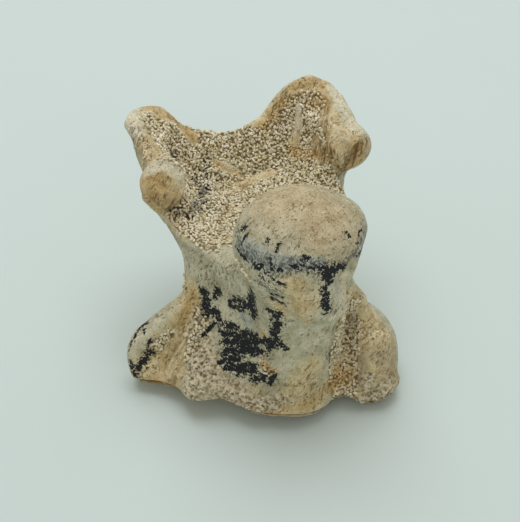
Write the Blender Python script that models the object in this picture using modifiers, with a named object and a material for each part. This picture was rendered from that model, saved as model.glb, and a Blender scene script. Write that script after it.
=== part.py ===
"""Fossil sea snake trunk vertebra, standing on its front (cotyle) end: one bone, parted by thin cuts.

+Z runs towards the snake's tail, -Y towards its belly and -X towards its left side.
"""

import math
import random

import bmesh
import bpy
from mathutils import Euler, Matrix, Vector

MM = 0.001

# Where the joined forms are melted into one bone, in millimetres.
VOXEL = 0.3
MELT_ROUNDS = 5
SKIN_TRIANGLES = 8800

# Width of the thin cuts between the named parts.
CUT = 0.3

# The bone stands on small flats at this level, and the forms run a little below it.
FLOOR = 0.0

# Condyle: the ball at the tail end of the centrum.
CONDYLE_CENTRE = (0.0, 0.0, 15.6)
CONDYLE_RADII = (5.25, 5.1, 4.2)

# Cotyle: the bowl at the head end, 2.6 deep.
COTYLE_CENTRE = (0.0, 1.3, -0.6)
COTYLE_RADII = (4.8, 4.2, 3.2)

# Half of the trunk in level sections, from the head end to the tail end. Each row is a height, then the
# (x, y) of the belly line, of two points of the centrum's wall, of the flank, of the side ridge, of the
# arch's wall, of the roof's edge and of the crest.
LEFT_TRUNK = (
    (-1.2, (0, -3.9), (3.9, -2.5), (6.1, -0.8), (8.8, 2.2), (8.6, 4.8), (6.0, 7.4), (4.4, 10.2), (0, 12.3)),
    (0.0, (0, -3.9), (3.9, -2.5), (6.1, -0.8), (8.8, 2.2), (8.6, 4.8), (6.0, 7.4), (4.4, 10.2), (0, 12.3)),
    (2.5, (0, -3.9), (3.7, -2.7), (6.0, -1.0), (8.6, 1.8), (8.7, 5.0), (6.2, 7.8), (4.3, 10.6), (0, 13.0)),
    (5.0, (0, -3.9), (3.4, -2.8), (5.3, -0.8), (7.6, 2.2), (8.4, 5.2), (6.0, 8.2), (4.2, 11.2), (0, 14.0)),
    (7.5, (0, -3.8), (2.9, -2.8), (4.5, -0.4), (6.5, 2.9), (7.9, 5.5), (6.2, 8.8), (4.4, 12.0), (0, 15.0)),
    (10.5, (0, -3.9), (2.8, -2.8), (4.2, -0.2), (6.0, 3.4), (7.5, 6.2), (6.6, 9.8), (5.0, 13.4), (0, 16.4)),
    (13.0, (0, -4.2), (2.9, -3.0), (4.5, -0.2), (6.1, 4.0), (7.8, 7.7), (7.4, 11.2), (6.4, 15.2), (0, 17.6)),
)
RIGHT_TRUNK = (
    (-1.2, (0, -3.9), (2.4, -2.8), (4.6, -1.0), (6.2, 1.8), (7.2, 4.8), (5.6, 7.4), (4.4, 10.2), (0, 12.3)),
    (0.0, (0, -3.9), (2.4, -2.8), (4.6, -1.0), (6.2, 1.8), (7.2, 4.8), (5.6, 7.4), (4.4, 10.2), (0, 12.3)),
    (2.5, (0, -3.9), (2.1, -2.9), (4.0, -0.8), (5.8, 1.6), (7.0, 4.8), (5.6, 7.8), (4.3, 10.6), (0, 13.0)),
    (5.0, (0, -3.9), (1.8, -2.9), (3.3, -1.2), (4.8, 1.8), (6.3, 4.8), (5.6, 8.2), (4.2, 11.2), (0, 14.0)),
    (7.5, (0, -3.8), (1.8, -3.0), (3.4, -1.2), (4.8, 2.2), (6.4, 5.4), (5.8, 8.8), (4.4, 12.0), (0, 15.0)),
    (10.5, (0, -3.9), (2.2, -3.1), (3.9, -0.8), (5.4, 3.0), (7.0, 6.2), (6.4, 9.8), (5.0, 13.4), (0, 16.4)),
    (13.0, (0, -4.2), (2.6, -3.1), (4.5, -0.4), (5.8, 4.0), (7.1, 7.4), (7.2, 11.2), (6.4, 15.2), (0, 17.6)),
)

# The tail end of the arch in level sections: a height, then (x, y) of the front's middle, of its corner,
# of the side, of the wing's outer corner and of the crest.
ARCH_TAIL = (
    (9.0, (0, 8.0), (6.0, 8.0), (6.9, 10.4), (5.6, 14.0), (0, 15.6)),
    (12.0, (0, 8.0), (6.6, 8.8), (7.7, 10.8), (6.9, 16.0), (0, 17.2)),
    (14.5, (0, 9.0), (6.9, 9.8), (8.4, 11.6), (8.0, 17.3), (0, 18.0)),
    (16.5, (0, 9.8), (7.2, 10.6), (8.9, 12.8), (8.4, 18.0), (0, 18.3)),
    (18.8, (0, 10.6), (7.2, 11.6), (9.0, 14.0), (8.6, 18.4), (0, 18.3)),
)

# The basin behind the condyle, as a trough. Each row is y, then the depth, the half width of its bottom,
# the height and half width part way up, and the half width at the top.
BASIN = (
    (2.0, 13.0, 4.6, 13.6, 6.6, 13.0),
    (5.0, 12.4, 4.6, 13.4, 7.0, 12.6),
    (8.0, 12.0, 4.2, 13.8, 6.3, 8.0),
    (11.0, 11.7, 3.6, 14.2, 6.2, 7.5),
    (14.2, 11.5, 2.8, 14.6, 6.2, 7.6),
    (16.0, 13.0, 2.0, 15.4, 5.2, 7.8),
    (17.3, 14.3, 1.8, 16.0, 4.4, 7.6),
    (21.0, 14.7, 1.8, 16.4, 4.2, 7.6),
)
BASIN_TOP = 21.0

# The parts as plain boxes around them, cut off the bone in this order: name, corners, turn and colour.
CREAM = (0.70, 0.62, 0.46)
OCHRE = (0.56, 0.45, 0.27)
GREY = (0.58, 0.57, 0.48)
SAND = (0.52, 0.44, 0.31)
PARTS = (
    ("hypapophysis", (-3.2, -9.0, 9.0), (3.4, -3.9, 14.0), (0, 0, 0), CREAM),
    ("condyle", (-7.5, -9.0, 14.3), (7.5, 6.9, 22.0), (0, 0, 0), CREAM),
    ("left_pterapophysis", (-12.0, 14.2, 13.9), (-4.4, 22.0, 22.0), (0, 0, 0), CREAM),
    ("right_pterapophysis", (4.4, 14.2, 13.9), (12.0, 22.0, 22.0), (0, 0, 0), OCHRE),
    ("left_postzygapophysis", (-12.0, 8.2, 12.8), (-5.6, 13.9, 22.0), (0, 0, 0), CREAM),
    ("right_postzygapophysis", (5.6, 8.2, 12.8), (12.0, 13.9, 22.0), (0, 0, 0), OCHRE),
    ("left_prezygapophysis", (-16.0, 3.3, -2.0), (-7.9, 9.6, 9.4), (0, 0, 0), OCHRE),
    ("right_prezygapophysis", (6.9, 3.9, -2.0), (16.0, 9.6, 5.6), (0, 0, 0), OCHRE),
    ("left_synapophysis", (-16.0, -5.0, -2.0), (-4.9, 3.0, 7.0), (0, 0, 0), CREAM),
    ("right_synapophysis", (4.0, -9.0, -2.0), (16.0, 3.6, 7.0), (0, 0, 0), OCHRE),
    ("cotyle_rim", (-9.0, -7.0, -2.0), (9.0, 6.3, 1.7), (0, 0, 0), GREY),
    ("zygosphene", (-6.0, 9.2, -2.0), (6.0, 16.0, 2.4), (0, 0, 0), GREY),
    ("neural_spine", (-1.3, 14.9, 2.0), (1.3, 20.9, 10.6), (-23, 0, 0), GREY),
    ("neural_arch", (-16.0, 6.6, -3.0), (16.0, 30.0, 24.0), (0, 0, 0), CREAM),
)

# The sandy matrix that fills the tail end of the neural canal, as an ellipsoid.
FILL_CENTRE = (0.0, 11.5, 13.4)
FILL_RADII = (5.0, 5.0, 3.6)

# Low lumps where sand is caked on the matrix: how far apart, their radius, their height and how unevenly
# they lie.
LUMP_SPACING = 1.9
LUMP_RADIUS = 0.8
LUMP_HEIGHT = 0.55
LUMP_JITTER = 0.35
LUMP_SEED = 5

# The ridge that runs down the right flank to the rib boss, and the hollow between that boss and the keel.
RIDGE_CENTRE = (5.3, 0.4, 7.9)
RIDGE_RADII = (0.95, 1.0, 3.6)
RIDGE_LEAN = -26
HOLLOW_CENTRE = (3.6, -3.6, 4.6)
HOLLOW_RADII = (1.2, 2.2, 3.4)


def clear_scene():
    for obj in list(bpy.data.objects):
        bpy.data.objects.remove(obj, do_unlink=True)


def collection(name, hidden=False):
    made = bpy.data.collections.new(name)
    bpy.context.scene.collection.children.link(made)
    made.hide_render = hidden
    return made


def object_from_bmesh(name, bm, home):
    bmesh.ops.recalc_face_normals(bm, faces=bm.faces)
    mesh = bpy.data.meshes.new(name)
    bm.to_mesh(mesh)
    bm.free()
    obj = bpy.data.objects.new(name, mesh)
    home.objects.link(obj)
    return obj


def smooth_line(points, steps):
    """A Catmull-Rom curve through the points, with this many steps for each span."""
    pts = [Vector(p) for p in points]
    pts = [2 * pts[0] - pts[1], *pts, 2 * pts[-1] - pts[-2]]
    line = []
    for a, b, c, d in zip(pts, pts[1:], pts[2:], pts[3:]):
        for i in range(steps):
            t = i / steps
            cubic = (3 * b - a - 3 * c + d) * t**3
            square = (2 * a - 5 * b + 4 * c - d) * t**2
            line.append(0.5 * (2 * b + (c - a) * t + square + cubic))
    return [*line, pts[-2]]


def closed_line(points, steps):
    """A closed Catmull-Rom curve through the points, with this many steps for each span."""
    count = len(points)
    return smooth_line([*points[-2:], *points, *points[:3]], steps)[2 * steps:(2 + count) * steps]


def knob(name, home, centre, radii, turn=(0, 0, 0)):
    """An ellipsoid, for a rounded swelling or hollow of the bone."""
    bm = bmesh.new()
    bmesh.ops.create_uvsphere(bm, u_segments=40, v_segments=24, radius=1.0)
    bmesh.ops.scale(bm, vec=Vector(radii) * MM, verts=bm.verts)
    spin = Euler([math.radians(a) for a in turn]).to_matrix()
    bmesh.ops.rotate(bm, cent=(0, 0, 0), matrix=spin, verts=bm.verts)
    bmesh.ops.translate(bm, vec=Vector(centre) * MM, verts=bm.verts)
    return object_from_bmesh(name, bm, home)


def box(name, home, low, high, turn=(0, 0, 0)):
    """A plain box between two corners, turned about its own centre."""
    low, high = Vector(low), Vector(high)
    bm = bmesh.new()
    bmesh.ops.create_cube(bm, size=1.0)
    bmesh.ops.scale(bm, vec=(high - low) * MM, verts=bm.verts)
    spin = Euler([math.radians(a) for a in turn]).to_matrix()
    bmesh.ops.rotate(bm, cent=(0, 0, 0), matrix=spin, verts=bm.verts)
    bmesh.ops.translate(bm, vec=(low + high) * 0.5 * MM, verts=bm.verts)
    return object_from_bmesh(name, bm, home)


def loft(name, home, rings, steps=1):
    """A closed skin over rings of equally many points, with its ends filled."""
    rings = list(zip(*(smooth_line(column, steps) for column in zip(*rings))))
    bm = bmesh.new()
    made = [[bm.verts.new(Vector(p) * MM) for p in ring] for ring in rings]
    count = len(made[0])
    for low, high in zip(made, made[1:]):
        for i in range(count):
            j = (i + 1) % count
            bm.faces.new((low[i], low[j], high[j], high[i]))
    bm.faces.new(made[0][::-1])
    bm.faces.new(made[-1])
    bmesh.ops.triangulate(bm, faces=[f for f in bm.faces if len(f.verts) > 4])
    return object_from_bmesh(name, bm, home)


def vane(name, home, rails, thickness, steps=6):
    """A bent sheet through several rails of points, given its thickness by a Solidify."""
    rails = [smooth_line(rail, steps) for rail in rails]
    rows = [smooth_line(column, steps) for column in zip(*rails)]
    bm = bmesh.new()
    grid = [[bm.verts.new(p * MM) for p in row] for row in rows]
    for low, high in zip(grid, grid[1:]):
        for i in range(len(low) - 1):
            bm.faces.new((low[i], low[i + 1], high[i + 1], high[i]))
    obj = object_from_bmesh(name, bm, home)
    wall = obj.modifiers.new("wall", "SOLIDIFY")
    wall.thickness = thickness * MM
    wall.offset = 0.0
    return obj


def evaluated_mesh(obj):
    """The object's mesh with its modifiers, in world space."""
    bpy.context.view_layer.update()
    graph = bpy.context.evaluated_depsgraph_get()
    mesh = bpy.data.meshes.new_from_object(obj.evaluated_get(graph))
    mesh.transform(obj.matrix_world)
    return mesh


def boolean(obj, operation, cutter):
    cut = obj.modifiers.new(operation.lower(), "BOOLEAN")
    cut.operation = operation
    cut.solver = "EXACT"
    cut.object = cutter


def section(left, right, height, steps=4):
    """A closed level ring through the right half's points and back through the left half's."""
    there = [(x, y, height) for x, y in right]
    back = [(-x, y, height) for x, y in left[-2:0:-1]]
    return closed_line(there + back, steps)


def trough(name, home, rows, top):
    rings = []
    for y, depth, bottom, middle_z, middle, rim in rows:
        half = [(0, y, depth), (bottom, y, depth + 0.35), (middle, y, middle_z), (rim, y, top)]
        rings.append(smooth_line([(-x, y, z) for x, y, z in half[:0:-1]] + half, 4))
    return loft(name, home, rings, 4)


def trunk_and_arch(home, cutters):
    """The centrum with its arch, and the two wings of the arch's tail end, with the basin between them."""
    rings = [section(l[1:], r[1:], l[0]) for l, r in zip(LEFT_TRUNK, RIGHT_TRUNK)]
    trunk = loft("trunk", home, rings, 4)
    tail = loft("arch_tail", home, [section(row[1:], row[1:], row[0], 6) for row in ARCH_TAIL], 4)
    basin = trough("basin", cutters, BASIN, BASIN_TOP)
    crown = box("crown", cutters, (-14, 2, 17.35), (14, 26, 23), (8, 0, 0))
    bowl = knob("cotyle_bowl", cutters, COTYLE_CENTRE, COTYLE_RADII)
    canal = knob("canal_mouth", cutters, (0, 8.0, -0.4), (2.3, 1.3, 1.7))
    left_groove = knob("left_groove", cutters, (-6.0, 8.4, -0.6), (2.6, 1.9, 2.2), (0, 0, 20))
    right_groove = knob("right_groove", cutters, (6.0, 8.4, -0.6), (2.6, 1.9, 2.2), (0, 0, -20))
    hollow = knob("boss_hollow", cutters, HOLLOW_CENTRE, HOLLOW_RADII)
    boolean(trunk, "DIFFERENCE", basin)
    boolean(trunk, "DIFFERENCE", bowl)
    boolean(trunk, "DIFFERENCE", canal)
    boolean(trunk, "DIFFERENCE", left_groove)
    boolean(trunk, "DIFFERENCE", right_groove)
    boolean(trunk, "DIFFERENCE", hollow)
    boolean(tail, "DIFFERENCE", crown)
    boolean(tail, "DIFFERENCE", basin)


def basin_floor(x, y):
    """The height of the basin's floor at a place, between the rows of the trough."""
    low, high = next(pair for pair in zip(BASIN, BASIN[1:]) if pair[0][0] <= y <= pair[1][0])
    share = (y - low[0]) / (high[0] - low[0])
    depth, bottom, middle_z, middle = [a + share * (b - a) for a, b in zip(low[1:5], high[1:5])]
    if abs(x) < bottom:
        return depth + 0.35 * abs(x) / bottom
    return depth + 0.35 + (middle_z - depth - 0.35) * (abs(x) - bottom) / (middle - bottom)


def sand_lumps(home):
    """Low lumps on the matrix, in staggered rows that don't lie quite evenly."""
    draw = random.Random(LUMP_SEED)
    reach = FILL_RADII[0] - 0.7 * LUMP_RADIUS
    row_step = 0.87 * LUMP_SPACING
    for row in range(-3, 4):
        for column in range(-3, 4):
            x = (column + 0.5 * (row % 2)) * LUMP_SPACING + draw.uniform(-LUMP_JITTER, LUMP_JITTER)
            y = FILL_CENTRE[1] + row * row_step + draw.uniform(-LUMP_JITTER, LUMP_JITTER)
            if math.hypot(x - FILL_CENTRE[0], y - FILL_CENTRE[1]) > reach:
                continue
            radii = (LUMP_RADIUS, LUMP_RADIUS * draw.uniform(0.75, 1.0), LUMP_HEIGHT)
            knob("sand_lump", home, (x, y, basin_floor(x, y)), radii, (0, 0, draw.uniform(0, 180)))


def knobs_and_wings(home, cutters):
    """The swellings and the thin wings that stand out from the trunk."""
    knob("condyle_ball", home, CONDYLE_CENTRE, CONDYLE_RADII)
    knob("condyle_neck", home, (0, -0.1, 13.4), (4.7, 4.4, 2.6))
    knob("keel_tongue", home, (0.1, -4.3, 13.0), (2.2, 1.9, 2.4), (18, 0, 0))
    knob("left_rib_boss", home, (-6.4, 1.9, 2.0), (3.3, 2.6, 3.6))
    vane("left_rib_crest", home, (
        ((-6.0, 2.6, 7.2), (-5.6, 3.8, 7.6)),
        ((-7.8, 2.2, 4.6), (-7.0, 3.6, 4.8)),
        ((-9.2, 2.4, 2.6), (-8.4, 3.8, 2.8)),
        ((-10.2, 3.0, -0.6), (-9.2, 4.2, -0.6)),
    ), 1.6)
    right_boss = knob("right_rib_boss", home, (5.6, -1.3, 1.2), (2.5, 3.2, 5.2), (0, 6, 0))
    boolean(right_boss, "DIFFERENCE", cutters.objects["boss_hollow"])
    knob("right_rib_side", home, (6.3, 0.5, 1.5), (2.7, 3.6, 5.0))
    knob("right_flank_ridge", home, RIDGE_CENTRE, RIDGE_RADII, (0, RIDGE_LEAN, 0))
    knob("zygosphene_lip", home, (0, 10.9, 0.6), (4.3, 1.6, 2.2))
    vane("left_front_wing", home, (
        ((-7.0, 3.6, -0.6), (-10.2, 4.3, -0.6), (-12.6, 5.6, -0.6)),
        ((-6.5, 4.6, 4.0), (-10.0, 4.8, 3.4), (-12.8, 5.2, 3.2)),
        ((-6.5, 5.8, 8.6), (-9.2, 5.4, 7.1), (-12.3, 5.0, 5.2)),
    ), 1.7)
    vane("right_front_wing", home, (
        ((6.0, 3.6, -0.6), (7.6, 4.0, -0.6), (9.4, 4.6, -0.6)),
        ((6.0, 4.6, 1.6), (7.6, 4.8, 1.2), (9.0, 5.0, 1.0)),
        ((5.6, 5.6, 4.4), (6.8, 5.4, 3.4), (8.2, 5.2, 2.4)),
    ), 1.6)
    for side, name in ((-1, "left"), (1, "right")):
        knob(name + "_rear_facet", home, (side * 8.15, 10.3, 15.8), (1.95, 1.0, 2.05), (-32, 0, 0))
        knob(name + "_rear_root", home, (side * 7.9, 11.6, 14.8), (1.5, 1.7, 2.0))
    knob("right_wing_swell", home, (8.6, 13.8, 16.5), (0.85, 2.6, 1.2))
    vane("spine_stump", home, (
        ((0, 12.0, 2.6), (0, 14.2, 3.2)),
        ((0, 14.6, 7.0), (0, 17.0, 7.2)),
        ((0, 16.0, 11.0), (0, 18.0, 11.0)),
    ), 1.6)


def melted(home, forms):
    """All the forms as one closed skin with rounded joins, cut level where the bone stands."""
    bm = bmesh.new()
    for obj in forms.objects:
        bm.from_mesh(evaluated_mesh(obj))
    joined = object_from_bmesh("joined", bm, home)
    skin = joined.modifiers.new("one skin", "REMESH")
    skin.mode = "VOXEL"
    skin.voxel_size = VOXEL * MM
    soft = joined.modifiers.new("soft joins", "SMOOTH")
    soft.factor = 0.5
    soft.iterations = MELT_ROUNDS
    fewer = joined.modifiers.new("fewer faces", "DECIMATE")
    bpy.context.view_layer.update()
    count = len(joined.evaluated_get(bpy.context.evaluated_depsgraph_get()).data.polygons)
    fewer.ratio = 0.5 * SKIN_TRIANGLES / count
    ground = box("ground", home, (-20, -12, -6), (20, 28, FLOOR))
    boolean(joined, "DIFFERENCE", ground)
    return joined


def largest_body(mesh):
    """Only the largest closed surface of the mesh."""
    bm = bmesh.new()
    bm.from_mesh(mesh)
    left = set(bm.verts)
    bodies = []
    while left:
        seed = left.pop()
        body, edge = {seed}, [seed]
        while edge:
            for link in edge.pop().link_edges:
                for vert in link.verts:
                    if vert in left:
                        left.discard(vert)
                        body.add(vert)
                        edge.append(vert)
        bodies.append(body)
    keep = max(bodies, key=len)
    bmesh.ops.delete(bm, geom=[v for v in bm.verts if v not in keep], context="VERTS")
    bmesh.ops.triangulate(bm, faces=bm.faces[:])
    bm.to_mesh(mesh)
    bm.free()
    return mesh


def grown_box(low, high, by):
    return [a - by for a in low], [a + by for a in high]


def carve(rest, name, cutter, wider, build, helpers):
    """Takes the part inside the cutter off the rest, which then also loses the thin cut around it."""
    piece = bpy.data.objects.new(name, rest.data.copy())
    helpers.objects.link(piece)
    boolean(piece, "INTERSECT", cutter)
    made = bpy.data.objects.new(name, largest_body(evaluated_mesh(piece)))
    bpy.data.objects.remove(piece, do_unlink=True)
    made.name = name
    build.objects.link(made)
    boolean(rest, "DIFFERENCE", wider)
    left = evaluated_mesh(rest)
    rest.modifiers.clear()
    rest.data = left
    return made


def paint(obj, colour):
    surface = bpy.data.materials.new(obj.name)
    surface.use_nodes = True
    bsdf = surface.node_tree.nodes["Principled BSDF"]
    bsdf.inputs["Base Color"].default_value = (*colour, 1.0)
    bsdf.inputs["Roughness"].default_value = 0.75
    obj.data.materials.clear()
    obj.data.materials.append(surface)


def centred(build):
    """The middle of the whole model's box goes over the origin."""
    points = [v.co for obj in build.objects for v in obj.data.vertices]
    low = Vector([min(p[i] for p in points) for i in range(3)])
    high = Vector([max(p[i] for p in points) for i in range(3)])
    shift = -0.5 * (low + high)
    shift.z = -low.z
    for obj in build.objects:
        obj.data.transform(Matrix.Translation(shift))


def main():
    clear_scene()
    forms = collection("forms", hidden=True)
    cutters = collection("cutters", hidden=True)
    build = collection("sea_snake_vertebra")
    trunk_and_arch(forms, cutters)
    knobs_and_wings(forms, cutters)
    sand_lumps(forms)
    whole = melted(cutters, forms)
    rest = bpy.data.objects.new("rest", largest_body(evaluated_mesh(whole)))
    cutters.objects.link(rest)
    fill = knob("matrix_shape", cutters, FILL_CENTRE, FILL_RADII)
    fill_gap = knob("matrix_gap", cutters, FILL_CENTRE, [r + CUT for r in FILL_RADII])
    paint(carve(rest, "matrix_fill", fill, fill_gap, build, cutters), SAND)
    for name, low, high, turn, colour in PARTS:
        cutter = box(name + "_box", cutters, low, high, turn)
        wide_low, wide_high = grown_box(low, high, CUT)
        wider = box(name + "_gap", cutters, wide_low, wide_high, turn)
        paint(carve(rest, name, cutter, wider, build, cutters), colour)
    centrum = bpy.data.objects.new("centrum", largest_body(rest.data.copy()))
    build.objects.link(centrum)
    paint(centrum, GREY)
    centred(build)
    for helper in [*forms.objects, *cutters.objects]:
        helper.hide_render = True
        helper.display_type = "WIRE"


main()
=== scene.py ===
# %% [markdown]
# # The looks of a fossil sea snake vertebra
# The object is one trunk bone of a large extinct sea snake, out of phosphate sand. It stands on its hollow
# front end, with its ball joint end up and its belly side towards us. The bone has turned to stone: it is
# cream to ochre, stained black by manganese, and its neural canal is still full of coarse cemented sand.
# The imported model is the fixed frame. Everything here is made round it, in the same place and size.

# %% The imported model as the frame
import math

import bmesh
import bpy
import numpy as np
from mathutils import Matrix, Vector


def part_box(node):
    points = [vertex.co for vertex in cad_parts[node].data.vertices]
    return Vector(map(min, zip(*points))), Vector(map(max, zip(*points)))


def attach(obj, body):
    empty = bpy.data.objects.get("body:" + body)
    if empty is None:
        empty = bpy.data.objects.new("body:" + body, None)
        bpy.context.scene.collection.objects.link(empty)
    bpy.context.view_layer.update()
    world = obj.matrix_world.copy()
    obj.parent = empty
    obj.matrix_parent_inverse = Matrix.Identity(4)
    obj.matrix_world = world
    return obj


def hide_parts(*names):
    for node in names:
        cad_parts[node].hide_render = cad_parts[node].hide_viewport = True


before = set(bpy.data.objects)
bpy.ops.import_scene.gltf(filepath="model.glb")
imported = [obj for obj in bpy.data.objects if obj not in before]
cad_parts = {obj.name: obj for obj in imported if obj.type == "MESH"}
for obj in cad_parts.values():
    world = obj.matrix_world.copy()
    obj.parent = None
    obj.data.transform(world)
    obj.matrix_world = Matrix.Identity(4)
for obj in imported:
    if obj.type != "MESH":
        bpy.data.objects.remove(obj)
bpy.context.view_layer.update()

MM = 0.001

# %% [markdown]
# ## Places on the bone
# Features are easier to place from a landmark than from the corner of a box. The ball's middle is the
# landmark here: x runs to the snake's right, y to its back and z to its tail, all in millimetres, with zero
# at the middle of the ball and at the level of the ground. One function turns such places into the frame's
# metres, and another does the reverse.

# %% The landmark and the two ways between its millimetres and the frame's metres
BALL_DEPTH = 5.1
ball_low, ball_high = (np.array(corner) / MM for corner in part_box("condyle"))
LANDMARK = np.array([(ball_low[0] + ball_high[0]) / 2, ball_high[1] - BALL_DEPTH, 0.0])


def in_frame(places):
    """Millimetres from the landmark as metres in the frame."""
    return (np.asarray(places, float) + LANDMARK) * MM


def from_landmark(points):
    """Metres in the frame as millimetres from the landmark."""
    return np.asarray(points, float) / MM - LANDMARK


print("landmark in mm:", np.round(LANDMARK, 2))

# %% [markdown]
# ## Strokes: where each finish lies
# On the real bone the black manganese, the ochre rust and the open pores lie in patches that follow its
# history, not a rule. They could be painted by hand on an image, but here each patch is a brush stroke: a
# short line of places on the bone with a radius in millimetres at each. A field is 1 on the line and falls
# to 0 at the radius, and the material later breaks its edge with noise, so that a few dozen strokes give
# patches with natural, frayed borders.

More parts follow.
